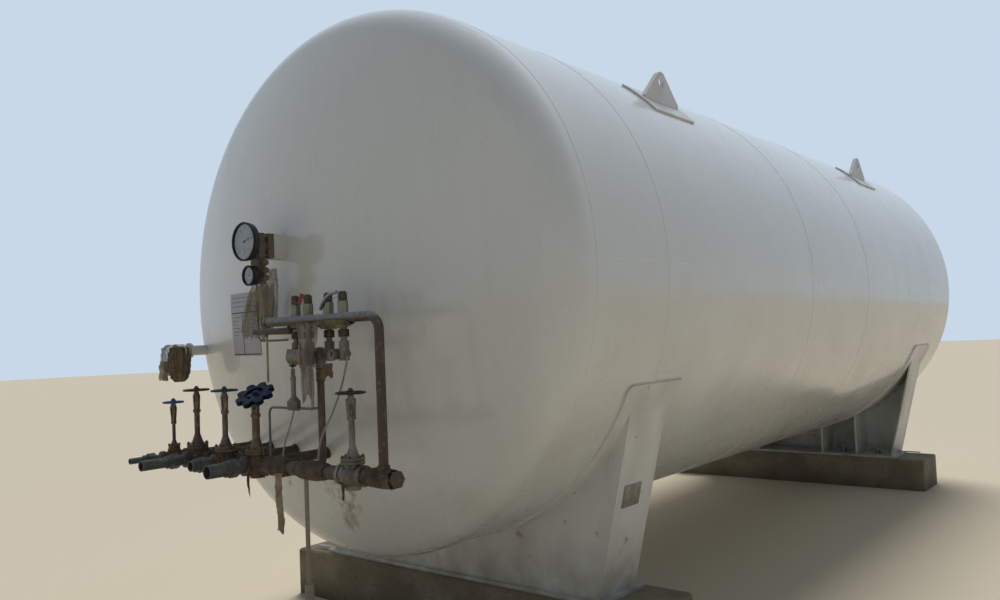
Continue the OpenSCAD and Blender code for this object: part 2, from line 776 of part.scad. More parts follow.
// Changeover bar: a round three-way body with arms that feed the four relief valves
module changeover_bar() {
    color("gray") in_tank() translate([relief_x, 0, 0]) {
        translate([0, 0, bar_z]) bar_y(bar_r, relief_4_y - bar_end, relief_1_y + bar_end);
        translate([0, riser_y, bar_z]) {
            sphere(r = bar_r * 2);
            bar_z(bar_r + 9, -bar_boss, 0);
            bar_x(bar_r, -bar_r * 3.6, 0);
            translate([-bar_r * 4.2, 0, 0]) lay() cylinder(h = bar_r * 1.5, r = bar_r + 7, $fn = 6);
        }
        at_relief() {
            bar_z(bar_r + 5, bar_z - bar_r - 12, union_z - union_h / 2);
            bar_z(bar_r - 3, union_z - union_h, union_z);
        }
        translate([0, 0, bar_z - bar_r / 2]) {
            bar_y(casting_r, relief_2_y - casting_side, relief_1_y + casting_r);
            translate([-casting_r * 0.8, relief_2_y - casting_side, 0])
                cube([casting_r * 1.6, relief_1_y - relief_2_y + casting_side + casting_r, casting_r]);
        }
        translate([0, relief_3_y - indicator_r * 2.5, bar_z]) {
            bar_x(indicator_r, -indicator_r * 1.8, 0);
            bar_x(indicator_r * 0.4, -indicator_r * 2.2, 0);
        }
    }
}
// How far the bar reaches past its outermost arms, and the casting past its inner arm
bar_end = 24;
casting_side = 25;

// Repeats its children at each of the four relief valves
module at_relief() {
    for (y = [relief_1_y, relief_2_y, relief_3_y, relief_4_y]) translate([0, y, 0]) children();
}

module relief_unions() {
    color("darkgoldenrod") in_tank() translate([relief_x, 0, union_z]) at_relief() {
        cylinder(h = union_h, r = union_r, $fn = 6);
        cylinder(h = relief_foot - weld, r = bar_r - 2);
        translate([0, 0, relief_foot - 10]) cylinder(h = 10, r = bar_r + 3, $fn = 6);
    }
}
// Height of a relief valve's foot above its union nut's lower face
relief_foot = 52;

module relief_valves() {
    color("silver") in_tank() difference() {
        translate([relief_x, 0, 0]) at_relief() {
            bar_z(relief_r, union_z + relief_foot, header_z + relief_h);
            translate([0, 0, header_z]) bar_x(relief_r / 2, -relief_back, 0);
        }
        translate([row, 0, header_z]) bar_y(header_r + seat, relief_4_y - relief_r, relief_1_y + relief_r);
    }
}
module relief_caps() {
    color("saddlebrown") in_tank() translate([relief_x, 0, header_z + relief_h]) at_relief() {
        cylinder(h = cap_h * 0.85, r = cap_r, $fn = 6);
        cylinder(h = cap_h, r = cap_r * 0.7);
    }
}

// Header that gathers the four outlets, with its elbow and downcomer
module relief_header() {
    color("sienna") in_tank() translate([row, 0, 0]) {
        translate([0, 0, header_z]) bar_y(header_r, downcomer_y + elbow_r, header_start_y);
        translate([0, header_start_y, header_z]) bar_y(header_r + 3, -collar_t, collar_t);
        translate([0, downcomer_y + elbow_r, header_z - elbow_r]) bend_yz(downcomer_r, elbow_r, 90);
        translate([0, downcomer_y, 0]) bar_z(downcomer_r, line_z + lower_r + tee_h, header_z - elbow_r);
    }
}

// Vent line out of the head, along behind the header and up into it, with a drain tube
module vent_line() {
    end_y = relief_1_y + relief_r + 1.5 * vent_r;
    rise = vent_drop - header_drop;
    color("saddlebrown") in_tank() difference() {
        translate([relief_x, 0, -vent_drop]) {
            bar_y(vent_r, end_y, vent_y - tube_bend);
            translate([tube_bend, vent_y - tube_bend, 0]) bend_xy(vent_r, tube_bend, 90);
            translate([0, vent_y, 0]) bar_x(vent_r, tube_bend, -relief_x);
            translate([0, end_y, 0]) {
                sphere(r = vent_r);
                bar_z(vent_r, 0, rise);
                translate([0, 0, rise]) sphere(r = vent_r);
                translate([0, 0, rise]) bar_x(vent_r, -relief_back, 0);
            }
            translate([0, drain_y, 0]) bar_z(tube_r, vent_drop - drain_drop, 0);
        }
        inside_front_head();
        translate([row, 0, header_z]) bar_y(header_r + seat, end_y - 2 * vent_r, end_y + 2 * vent_r);
    }
}

// Sampling tube from the lower line up, across under its valve and back to the riser
module sampling_tube() {
    left = sample_y + sample_leg;
    z = -sample_drop;
    color("gray") in_tank() difference() {
        translate([row, 0, 0]) {
            translate([0, left, 0]) bar_z(tube_r, line_z, z - tube_bend);
            translate([0, left - tube_bend, z - tube_bend]) bend_yz(tube_r, tube_bend, 0);
            translate([0, 0, z]) bar_y(tube_r, riser_y + tube_bend, left - tube_bend);
            translate([tube_bend, riser_y + tube_bend, z]) bend_xy(tube_r, tube_bend, 180);
            translate([0, riser_y, z]) bar_x(tube_r, tube_bend, relief_back);
        }
        translate([row, 0, line_z]) bar_y(lower_r + seat, left - tube_bend, left + tube_bend);
        translate([relief_x, riser_y, 0]) bar_z(riser_r + seat, z - tube_bend, z + tube_bend);
        translate([row, sample_y, z]) bar_y(2 * tube_r + seat, -sample_half, sample_half);
    }
}
// Half the length of the sampling valve between its two nuts
sample_half = sample_r + 6;

// Sampling valve: a round body with a slim bonnet and a small open yoke
module sampling_valve() {
    cone_z = sample_r * 1.1;
    gland_z = sample_rise - 3.5 * gland_h;
    top = sample_rise - gland_h;
    color("dimgray") in_tank() translate([row, sample_y, -sample_drop]) difference() {
        union() {
            bar_y(2 * tube_r, -sample_half, sample_half);
            bar_z(sample_r, -collar_t, cone_z);
            translate([0, 0, cone_z]) cylinder(h = 20, r1 = sample_r - 3, r2 = sample_bonnet_r);
            bar_z(sample_bonnet_r, cone_z, gland_z);
            bar_z(sample_bonnet_r + 2, gland_z - gland_h, gland_z);
            for (side = [-1, 1]) translate([0, side * sample_bonnet_r, 0]) bar_z(sample_stem_r, gland_z - weld, top);
            translate([0, 0, top - bush_h / 2]) bar_y(4, -sample_bonnet_r, sample_bonnet_r);
            bar_z(sample_bonnet_r - 1, top - bush_h, top + weld);
        }
        bar_z(sample_stem_r + stem_gap, gland_z - 3 * gland_h, sample_rise);
    }
}
// Radius of the sampling valve's bonnet and of its stem
sample_bonnet_r = 11;
sample_stem_r = 3;

module sampling_handle() {
    color("black") in_tank() translate([row, sample_y, -sample_drop]) {
        bar_z(sample_stem_r, sample_rise - 6 * gland_h, sample_rise);
        translate([0, 0, sample_rise]) bar_y(4.5, -sample_r * 0.7, sample_r * 0.7);
        bar_z(7, sample_rise - 7, sample_rise + 7);
    }
}

// Prop under the lower line: a tube in a sleeve that stands on the ground
module pipe_prop() {
    color("lightgray") in_tank() translate([row, prop_y, 0]) difference() {
        union() {
            bar_z(prop_r, -axis_h + prop_sleeve_h / 2, line_z);
            bar_z(prop_sleeve_r, -axis_h, -axis_h + prop_sleeve_h);
        }
        translate([0, 0, line_z]) bar_y(lower_r + tee_t + seat, -lower_r, lower_r);
    }
}

// Bracket on the head: two side plates and a front plate that carry the instrument
module gauge_bracket() {
    color("whitesmoke") in_tank() difference() {
        translate([instrument_back, gauge_y, instrument_z - instrument_h / 2]) {
            translate([0, -instrument_w / 2, 0]) cube([bracket_t, instrument_w, instrument_h]);
            for (side = [-1, 1]) translate([0, side * (bracket_w - bracket_t) / 2 - bracket_t / 2, 0])
                cube([head_depth, bracket_t, instrument_h]);
        }
        inside_front_head();
    }
}
// Front, back and height of the instrument body behind the level gauge
instrument_z = level_gauge_z - instrument_low;
instrument_front = gauge_face + level_gauge_t + gauge_neck;
instrument_back = instrument_front + instrument_t;

// Pressure cell behind the level gauge: a round chamber clamped between two square flanges
module instrument_body() {
    color("darkkhaki") in_tank() translate([instrument_front, gauge_y, instrument_z]) {
        for (x = [0, instrument_t * 0.62]) translate([x, -instrument_w / 2, -instrument_h / 2])
            cube([instrument_t * 0.38, instrument_w, instrument_h]);
        bar_x(instrument_w * 0.42, instrument_t * 0.3, instrument_t * 0.7);
    }
}

module dial(r, depth, neck, x, z) {
    translate([x, gauge_y, z]) lay() difference() {
        union() {
            cylinder(h = depth, r = r - bezel_t / 2);
            cylinder(h = depth / 2, r = r);
            cylinder(h = depth + neck, r = r * 0.3);
        }
        translate([0, 0, -weld]) cylinder(h = bezel_t, r = r - bezel_t);
    }
}
// Width and depth of the rim that stands up round a dial
bezel_t = 8;
module level_gauge() {
    color("dimgray") in_tank() dial(level_gauge_r, level_gauge_t, gauge_neck, gauge_face, level_gauge_z);
}
module pressure_gauge() {
    color("black") in_tank()
        dial(pressure_gauge_r, pressure_gauge_t, 0, manifold_front - pressure_gauge_t, pressure_gauge_z);
}

// Manifold block that hangs below the instrument, with three small valves on its near side
module gauge_block() {
    top = instrument_z - instrument_h / 2;
    color("darkkhaki") in_tank() translate([manifold_front, gauge_y, top - manifold_h]) {
        translate([0, -manifold_w / 2, 0]) cube([manifold_t, manifold_w, manifold_h]);
        for (z = [0.2, 0.5, 0.8]) translate([manifold_t / 2, -manifold_w / 2, z * manifold_h]) {
            bar_y(knob_r * 0.65, -2 * knob_r, 0);
            bar_y(knob_r, -2.7 * knob_r, -2 * knob_r);
        }
    }
}
manifold_front = instrument_front + 4;
// Radius of the knobs on the manifold's valves
knob_r = 14;

module gauge_tubes() {
    x = manifold_front + manifold_t / 2;
    top = instrument_z - instrument_h / 2 - manifold_h;
    color("tan") in_tank() difference() {
        for (y = [gauge_y - manifold_w / 4, gauge_y + manifold_w / 4]) translate([x, y, 0]) {
            bar_z(tube_r, tube_bend - gauge_tube_drop, top);
            translate([tube_bend, 0, tube_bend - gauge_tube_drop]) bend_xz(tube_r, tube_bend, 180);
            translate([0, 0, -gauge_tube_drop]) bar_x(tube_r, tube_bend, head_depth);
        }
        inside_front_head();
    }
}

// Fitting ahead of the fill nozzle: its middle and its width
fitting_x = nozzle_reach + 72;
fitting_w = 46;

// Fill nozzle on the far edge of the head, with the fitting at its end
module fill_nozzle() {
    color("whitesmoke") in_tank() difference() {
        translate([0, nozzle_y, -nozzle_drop]) {
            bar_x(nozzle_r, -nozzle_reach, 0);
            bar_x(nozzle_r + 16, -nozzle_reach - 14, -nozzle_reach);
            bar_x(nozzle_r - 4, -fitting_x, -nozzle_reach);
            bar_x(nozzle_r + 12, -fitting_x - fitting_w / 2, -fitting_x + fitting_w / 2);
            translate([-fitting_x, 0, 0]) bar_z(nozzle_r / 2, -80, 0);
        }
        inside_front_head();
    }
}

front_head();
rear_head();
first_course();
second_course();
third_course();
fourth_course();
front_wear_pad();
rear_wear_pad();
front_saddle_web();
rear_saddle_web();
front_saddle_end_plates();
rear_saddle_end_plates();
front_saddle_ribs();
rear_saddle_ribs();
front_base_plate();
rear_base_plate();
front_plinth();
rear_plinth();
lug_pads();
lifting_lugs();
head_lines();
level_valve();
bottom_fill_valve();
top_fill_valve();
outlet_valve();
bypass_valve();
level_handwheel();
bottom_fill_handwheel();
top_fill_handwheel();
outlet_handwheel();
bypass_handwheel();
outlet_lines();
lower_line();
riser();
changeover_bar();
relief_unions();
relief_valves();
relief_caps();
relief_header();
vent_line();
sampling_tube();
sampling_valve();
sampling_handle();
pipe_prop();
gauge_bracket();
instrument_body();
level_gauge();
pressure_gauge();
gauge_block();
gauge_tubes();
fill_nozzle();
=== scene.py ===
import math
import random

import bpy
from mathutils import Matrix, Vector, noise


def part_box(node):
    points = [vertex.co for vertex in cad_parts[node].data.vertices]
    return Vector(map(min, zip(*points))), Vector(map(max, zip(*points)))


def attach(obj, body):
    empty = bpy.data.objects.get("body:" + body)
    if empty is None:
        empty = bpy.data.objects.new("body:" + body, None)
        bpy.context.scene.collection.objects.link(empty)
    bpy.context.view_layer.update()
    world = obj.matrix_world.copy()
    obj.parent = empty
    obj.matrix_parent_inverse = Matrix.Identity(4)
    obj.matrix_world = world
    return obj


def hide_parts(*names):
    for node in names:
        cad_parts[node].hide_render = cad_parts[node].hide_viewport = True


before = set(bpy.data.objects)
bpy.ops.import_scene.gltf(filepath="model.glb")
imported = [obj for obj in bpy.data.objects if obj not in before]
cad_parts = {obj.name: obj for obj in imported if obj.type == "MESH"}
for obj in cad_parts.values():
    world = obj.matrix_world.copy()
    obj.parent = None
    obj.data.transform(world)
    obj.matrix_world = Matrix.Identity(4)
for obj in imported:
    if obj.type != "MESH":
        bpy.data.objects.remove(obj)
random.seed(11)
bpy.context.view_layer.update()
print("frame loaded with", len(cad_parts), "nodes")

# Places that everything below is measured from
headLow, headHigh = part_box("front_head")
shellRadius = (headHigh.y - headLow.y) / 2
axisZ = (headHigh.z + headLow.z) / 2
frontSeam = headHigh.x
headDepth = headHigh.x - headLow.x


def middleOf(name):
    low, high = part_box(name)
    return (low + high) / 2


# A point in the tank's own measure: metres behind the front seam, across, and above the axis
def inTank(x, y, z):
    return Vector((frontSeam + x, y, axisZ + z))


def clearSelection():
    if bpy.context.object and bpy.context.object.mode != "OBJECT":
        bpy.ops.object.mode_set(mode="OBJECT")
    bpy.ops.object.select_all(action="DESELECT")


def makeActive(piece):
    clearSelection()
    piece.select_set(True)
    bpy.context.view_layer.objects.active = piece


def applyPlace(piece):
    makeActive(piece)
    bpy.ops.object.transform_apply(location=True, rotation=True, scale=True)


# Gives a finished piece its name, finish, smooth faces and the body it rides on
def settle(piece, name, finish, body="tank", angle=32):
    applyPlace(piece)
    bpy.ops.object.shade_smooth_by_angle(angle=math.radians(angle))
    piece.name = name
    piece.data.name = name
    piece.data.materials.clear()
    piece.data.materials.append(finishes[finish])
    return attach(piece, body)


def outwards(piece):
    makeActive(piece)
    bpy.ops.object.mode_set(mode="EDIT")
    bpy.ops.mesh.select_all(action="SELECT")
    bpy.ops.mesh.remove_doubles(threshold=0.00001)
    bpy.ops.mesh.normals_make_consistent(inside=False)
    bpy.ops.object.mode_set(mode="OBJECT")
    return piece


def joined(pieces):
    clearSelection()
    for piece in pieces:
        piece.select_set(True)
    bpy.context.view_layer.objects.active = pieces[0]
    if len(pieces) > 1:
        bpy.ops.object.join()
    return bpy.context.object


def addModifier(piece, kind, **settings):
    makeActive(piece)
    modifier = piece.modifiers.new(kind.title(), kind)
    for key, value in settings.items():
        setattr(modifier, key, value)
    bpy.ops.object.modifier_apply(modifier=modifier.name)


def addBlock(size, place=(0, 0, 0)):
    clearSelection()
    bpy.ops.mesh.primitive_cube_add(size=1, location=place)
    block = bpy.context.object
    block.scale = size
    applyPlace(block)
    return block


turnedStart = {"X": (0, math.pi / 2, 0), "Y": (math.pi / 2, 0, 0), "Z": (0, 0, 0)}
axisVector = {"X": Vector((1, 0, 0)), "Y": Vector((0, 1, 0)), "Z": Vector((0, 0, 1))}


# Turned shape: a circle drawn out ring by ring, each ring a distance along the axis and a radius
def turned(rings, place=(0, 0, 0), axis="Z", segments=32, closed=True):
    clearSelection()
    along = axisVector[axis]
    place = Vector(place)
    bpy.ops.mesh.primitive_circle_add(vertices=segments, radius=rings[0][1], rotation=turnedStart[axis],
                                      location=place + along * rings[0][0],
                                      fill_type="NGON" if closed else "NOTHING")
    bpy.ops.object.mode_set(mode="EDIT")
    for (start, oldRadius), (end, newRadius) in zip(rings, rings[1:]):
        bpy.ops.mesh.extrude_region_move(TRANSFORM_OT_translate={"value": along * (end - start)})
        share = newRadius / oldRadius
        grow = [1 if along[i] else share for i in range(3)]
        bpy.ops.transform.resize(value=grow, center_override=place + along * end)
    if rings[-1][1] < 0.001:
        bpy.ops.mesh.merge(type="CENTER")
    bpy.ops.object.mode_set(mode="OBJECT")
    piece = bpy.context.object
    return outwards(piece) if closed else piece


def hexPrism(radius, low, high, axis="Z"):
    return turned([(low, radius * 0.94), (low + radius * 0.08, radius), (high - radius * 0.08, radius),
                   (high, radius * 0.94)], axis=axis, segments=6)


# A copy of a model at each place, all in one mesh
def copyAt(model, places):
    copies = []
    for place in places:
        makeActive(model)
        bpy.ops.object.duplicate()
        copy = bpy.context.object
        copy.matrix_world = Matrix.Translation(place) @ model.matrix_world
        applyPlace(copy)
        copies.append(copy)
    bpy.data.objects.remove(model)
    return joined(copies)


def drawnTube(points, radius, smooth=True, rounding=1):
    curve = bpy.data.curves.new("tube", "CURVE")
    curve.dimensions = "3D"
    curve.bevel_depth = radius
    curve.bevel_resolution = rounding
    curve.use_fill_caps = True
    line = curve.splines.new("BEZIER" if smooth else "POLY")
    knots = line.bezier_points if smooth else line.points
    knots.add(len(points) - 1)
    for knot, point in zip(knots, points):
        if smooth:
            knot.co = point
            knot.handle_left_type = knot.handle_right_type = "AUTO"
        else:
            knot.co = (*point, 1)
    piece = bpy.data.objects.new("tube", curve)
    bpy.context.collection.objects.link(piece)
    makeActive(piece)
    bpy.ops.object.convert(target="MESH")
    return outwards(bpy.context.object)


# Materials
def hexColour(code):
    parts = [int(code[i:i + 2], 16) / 255 for i in (1, 3, 5)]
    linear = [p / 12.92 if p <= 0.04045 else ((p + 0.055) / 1.055) ** 2.4 for p in parts]
    return (*linear, 1.0)


# Adds a node with its settings and links, fed from source if that is a socket, and gives one output
def addNode(source, kind, inputs=None, out=0, **settings):
    tree = source.id_data
    node = tree.nodes.new("ShaderNode" + kind)
    for key, value in settings.items():
        setattr(node, key, value)
    if isinstance(source, bpy.types.NodeSocket):
        inputs = {0: source, **(inputs or {})}
    for key, value in (inputs or {}).items():
        if isinstance(value, bpy.types.NodeSocket):
            tree.links.new(value, node.inputs[key])
        else:
            node.inputs[key].default_value = value
    return node.outputs[out]


def newMaterial(name, **shaderValues):
    material = bpy.data.materials.new(name)
    material.use_nodes = True
    shader = material.node_tree.nodes["Principled BSDF"]
    for key, value in shaderValues.items():
        shader.inputs[key.replace("_", " ")].default_value = value
    return material, addNode(shader, "TexCoord", out="Object")


# Patches of noise: 0 where it is under low, 1 where it is over high
def patch(place, scale, low, high, detail=4.0, stretch=(1, 1, 1), shift=(0, 0, 0)):
    spot = addNode(place, "Mapping", {"Scale": stretch, "Location": shift})
    grain = addNode(spot, "TexNoise", {"Scale": scale, "Detail": detail})
    return addNode(grain, "MapRange", {"From Min": low, "From Max": high})


def heightRamp(place, low, high):
    z = addNode(place, "SeparateXYZ", out="Z")
    return addNode(z, "MapRange", {"From Min": low, "From Max": high})


# One colour laid over another where a mask says, up to a strength
def layer(below, above, mask, strength=1.0):
    if strength < 1:
        mask = addNode(mask, "Math", {1: strength}, operation="MULTIPLY")
    below, above = (hexColour(value) if isinstance(value, str) else value for value in (below, above))
    return addNode(mask, "Mix", {6: below, 7: above}, out=2, data_type="RGBA")


# A value that goes from clean to worn with the strongest of the masks
def wear(clean, worn, *masks):
    mask = masks[0]
    for other in masks[1:]:
        mask = addNode(mask, "Math", {1: other}, operation="MAXIMUM")
    return addNode(mask, "MapRange", {"To Min": clean, "To Max": worn})


# Joins values and bump layers (height, depth in metres, strength) to the shader
def dress(material, values, *bumps):
    shader = material.node_tree.nodes["Principled BSDF"]
    for height, distance, strength in bumps:
        inputs = {"Height": height, "Distance": distance, "Strength": strength}
        if "Normal" in values:
            inputs["Normal"] = values["Normal"]
        values["Normal"] = addNode(shader, "Bump", inputs)
    for key, value in values.items():
        material.node_tree.links.new(value, shader.inputs[key])
    return material


# Brown edge that a dried splash leaves: 1 on a wavy ring round the centre, 0 away from it
def tideMark(place, centre, radius, width):
    wander = addNode(place, "TexNoise", {"Scale": 16.0, "Detail": 6.0}, out="Color")
    wander = addNode(wander, "VectorMath", {1: (0.5, 0.5, 0.5)}, operation="SUBTRACT")
    wander = addNode(wander, "VectorMath", {"Scale": radius * 1.6}, operation="SCALE")
    moved = addNode(place, "VectorMath", {1: wander}, operation="ADD")
    away = addNode(moved, "VectorMath", {1: centre}, out="Value", operation="DISTANCE")
    edge = addNode(away, "Math", {1: radius}, operation="SUBTRACT")
    edge = addNode(edge, "Math", operation="ABSOLUTE")
    return addNode(edge, "MapRange", {"From Min": width, "From Max": 0.0})


# Dried splashes under the lower line: centre, radius and width of the brown edge
headStains = [((-3.435, -0.1, 0.915), 0.065, 0.045), ((-3.41, -0.15, 0.845), 0.01, 0.05),
              ((-3.385, -0.09, 0.78), 0.03, 0.04), ((-3.42, 0.362, 0.943), 0.005, 0.035),
              ((-3.45, 0.03, 0.958), 0.01, 0.05)]


# Two-pack polyurethane topcoat sprayed over rolled plate: glossy white, a little wavy in its reflections,
# with a film of dust and pale runs down the sides
def jacketTopcoat():
    material, place = newMaterial("sprayed polyurethane topcoat", IOR=1.5, Coat_Weight=0.35,
                                  Coat_Roughness=0.06)
    runs = patch(place, 2.2, 0.5, 0.78, stretch=(6, 6, 0.35))
    lowDown = heightRamp(place, axisZ + 0.5, axisZ - shellRadius)
    dusty = addNode(lowDown, "Math", {1: patch(place, 3.0, 0.3, 0.75)}, operation="MULTIPLY")
    colour = layer("#e3e5e2", "#dbdedb", patch(place, 0.7, 0.35, 0.7))
    colour = layer(colour, "#b9b6a8", runs, 0.1)
    colour = layer(colour, "#bdb6a2", dusty, 0.45)
    colour = layer(colour, "#8e8878", patch(place, 60.0, 0.68, 0.78, detail=2), 0.25)
    broken = patch(place, 22.0, 0.36, 0.6, detail=6)
    for centre, radius, width in headStains:
        mark = tideMark(place, centre, radius, width)
        mark = addNode(mark, "Math", {1: broken}, operation="MULTIPLY")
        colour = layer(colour, "#7f6a4e", mark, 0.75)
    runs = addNode(runs, "Math", {1: 0.6}, operation="MULTIPLY")
    waves = addNode(place, "TexNoise", {"Scale": 1.1, "Detail": 1.0})
    dents = addNode(place, "TexNoise", {"Scale": 4.5, "Detail": 2.0})
    peel = addNode(place, "TexNoise", {"Scale": 420.0, "Detail": 1.0})
    return dress(material, {"Base Color": colour, "Roughness": wear(0.2, 0.42, dusty, runs)},
                 (waves, 0.02, 0.6), (dents, 0.0022, 0.5), (peel, 0.0001, 0.35))


# The same topcoat on the saddles, brushed at the edges: duller, dusty, rust weeping from the welds
def saddleTopcoat():
    material, place = newMaterial("brushed polyurethane topcoat", IOR=1.5)
    grime = patch(place, 5.0, 0.4, 0.75, stretch=(1, 1, 0.4))
    foot = heightRamp(place, 0.62, 0.3)
    foot = addNode(foot, "Math", {1: patch(place, 9.0, 0.25, 0.7)}, operation="MULTIPLY")
    colour = layer("#dfe0dc", "#b4ae9d", grime, 0.5)
    colour = layer(colour, "#8f8470", foot, 0.7)
    colour = layer(colour, "#7d4a2a", patch(place, 16.0, 0.66, 0.74, detail=6), 0.5)
    brush = addNode(place, "TexNoise", {"Scale": 90.0, "Detail": 3.0})
    warp = addNode(place, "TexNoise", {"Scale": 3.0, "Detail": 1.0})
    return dress(material, {"Base Color": colour, "Roughness": wear(0.34, 0.6, grime)},
                 (warp, 0.006, 0.5), (brush, 0.0004, 0.4))


# Cast concrete struck from plain boards: brownish grey, pitted, dark with dust, and darker towards the bottom
def castConcrete():
    material, place = newMaterial("cast concrete", IOR=1.45, Roughness=0.9)
    broad = patch(place, 3.5, 0.35, 0.68, detail=8)
    fine = patch(place, 40.0, 0.35, 0.7, detail=6)
    pits = addNode(place, "TexVoronoi", {"Scale": 38.0, "Randomness": 1.0})
    solid = addNode(pits, "MapRange", {"From Min": 0.05, "From Max": 0.17})
    holes = addNode(place, "Math", {0: 1.0, 1: solid}, operation="SUBTRACT")
    boards = addNode(place, "TexWave", {"Scale": 3.2, "Distortion": 0.6, "Detail": 2.0}, "Fac",
                     bands_direction="Z")
    colour = layer("#7f7560", "#9f957f", broad)
    colour = layer(colour, "#58503f", fine, 0.35)
    # Darker grey-brown towards the bottom, over the lowest 14 cm of the plinth
    colour = layer(colour, "#4c4537", heightRamp(place, 0.14, 0.0), 0.55)
    colour = layer(colour, "#3f382c", holes, 0.6)
    return dress(material, {"Base Color": colour}, (broad, 0.004, 0.6), (boards, 0.0015, 0.3),
                 (fine, 0.0012, 0.7), (solid, 0.002, 0.8))


# Pipe and valves that frost over and thaw each day: brown with rust and mud, pale where it has dried.
# Bands have another look, each from one height to another below the tank's axis
def stainedSteel(name, base, stain, dried, scale=1.0, bands=()):
    material, place = newMaterial(name, IOR=1.5)
    broad = patch(place, 14.0 * scale, 0.36, 0.62, detail=6)
    crust = patch(place, 42.0 * scale, 0.56, 0.72, detail=8)
    spots = patch(place, 120.0 * scale, 0.62, 0.7, detail=3)
    colour = layer(base, stain, broad)
    colour = layer(colour, dried, crust, 0.75)
    colour = layer(colour, "#2a211a", spots, 0.6)
    metal = wear(0.7, 0.05, broad, crust)
    for low, high, soft, dark, light in bands:
        above = heightRamp(place, axisZ + low - soft, axisZ + low)
        below = heightRamp(place, axisZ + high, axisZ + high - soft)
        inBand = addNode(above, "Math", {1: below}, operation="MULTIPLY")
        outside = addNode(place, "Math", {0: 1.0, 1: inBand}, operation="SUBTRACT")
        metal = addNode(metal, "Math", {1: outside}, operation="MULTIPLY")
        colour = layer(colour, layer(dark, light, patch(place, 34.0, 0.35, 0.7)), inBand)
    return dress(material, {"Base Color": colour, "Metallic": metal, "Roughness": wear(0.5, 0.85, crust)},
                 (broad, 0.0015, 0.5), (crust, 0.0018, 0.8), (spots, 0.0006, 0.6))


# Hot-dip galvanised pipe: dull zinc grey, faint crystals about 12 mm across, white rust in patches
def galvanisedPipe():
    material, place = newMaterial("hot-dip galvanised pipe", Metallic=0.75)
    crystals = addNode(place, "TexVoronoi", {"Scale": 85.0}, out="Color")
    shade = addNode(crystals, "SeparateColor")
    white = patch(place, 18.0, 0.55, 0.75, detail=6)
    dirt = patch(place, 9.0, 0.5, 0.75, detail=5, shift=(3, 1, 2))
    colour = layer("#6d7173", "#8b8f90", shade)
    colour = layer(colour, "#a3a197", white, 0.6)
    colour = layer(colour, "#6b6353", dirt, 0.6)
    return dress(material, {"Base Color": colour, "Roughness": wear(0.4, 0.75, white, dirt)},
                 (shade, 0.0001, 0.4), (dirt, 0.0008, 0.5))


# Cast brass that has gone dark outdoors, bright again where a spanner has bitten
def agedBrass(name, dark, bright):
    material, place = newMaterial(name, Metallic=0.85)
    worn = patch(place, 60.0, 0.5, 0.68)
    dust = patch(place, 26.0, 0.55, 0.75, detail=5, shift=(1, 4, 2))
    colour = layer(layer(dark, bright, worn), "#7b705b", dust, 0.6)
    return dress(material, {"Base Color": colour, "Roughness": wear(0.3, 0.7, dust)}, (worn, 0.0004, 0.4),
                 (dust, 0.0006, 0.5))


# Turned stainless steel of the relief valves: silver, fine turning marks, dusty on top
def turnedStainless():
    material, place = newMaterial("turned stainless steel", Metallic=0.7)
    marks = addNode(place, "TexWave", {"Scale": 260.0, "Distortion": 1.0}, "Fac", bands_direction="Z")
    dust = patch(place, 22.0, 0.5, 0.78, detail=6)
    colour = layer("#787864", "#5c5843", dust, 0.7)
    return dress(material, {"Base Color": colour, "Roughness": wear(0.34, 0.7, dust)},
                 (marks, 0.0001, 0.25), (dust, 0.0005, 0.4))


hubHeight = 0.025  # of a plain handwheel
stemRadius = 0.0085


# Enamelled cast iron of a handwheel: glossy paint, chipped to dark iron in spots, dusty above.
# The stem under its hub stays bare steel, greasy and brown
def wheelEnamel(name, paint, faded, wheel=None, stemTop=None):
    material, place = newMaterial(name, IOR=1.22)
    fade = patch(place, 18.0, 0.35, 0.7)
    chips = patch(place, 90.0, 0.66, 0.7, detail=5)
    colour = layer(layer(paint, faded, fade), "#3a2c22", chips)
    values = {"Roughness": wear(0.28, 0.6, fade, chips)}
    if wheel:
        middle = middleOf(wheel)
        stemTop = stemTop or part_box(wheel)[1].z - hubHeight
        aside = addNode(place, "VectorMath", {1: (-middle.x, -middle.y, 0)}, operation="ADD")
        aside = addNode(aside, "VectorMath", {1: (1, 1, 0)}, operation="MULTIPLY")
        aside = addNode(aside, "VectorMath", out="Value", operation="LENGTH")
        slim = addNode(aside, "Math", {1: stemRadius}, operation="LESS_THAN")
        under = heightRamp(place, stemTop, stemTop - 0.001)
        onStem = addNode(slim, "Math", {1: under}, operation="MULTIPLY")
        grease = layer("#77705f", "#4c4234", patch(place, 50.0, 0.4, 0.65))
        colour = layer(colour, grease, onStem)
        values["Metallic"] = addNode(onStem, "Math", {1: 0.6}, operation="MULTIPLY")
    casting = addNode(place, "TexNoise", {"Scale": 160.0, "Detail": 3.0})
    whole = addNode(place, "Math", {0: 1.0, 1: chips}, operation="SUBTRACT")
    return dress(material, {"Base Color": colour, **values}, (casting, 0.0007, 0.5), (whole, 0.0004, 0.6))


# Moulded ABS or painted case of a gauge: even colour, faint grain, dust
def mouldedCase(name, clean, dusty, roughness):
    material, place = newMaterial(name, IOR=1.5, Roughness=roughness)
    dust = patch(place, 30.0, 0.45, 0.8, detail=6)
    grain = addNode(place, "TexNoise", {"Scale": 900.0, "Detail": 2.0})
    return dress(material, {"Base Color": layer(clean, dusty, dust, 0.45)}, (grain, 0.0001, 0.3),
                 (dust, 0.0003, 0.3))


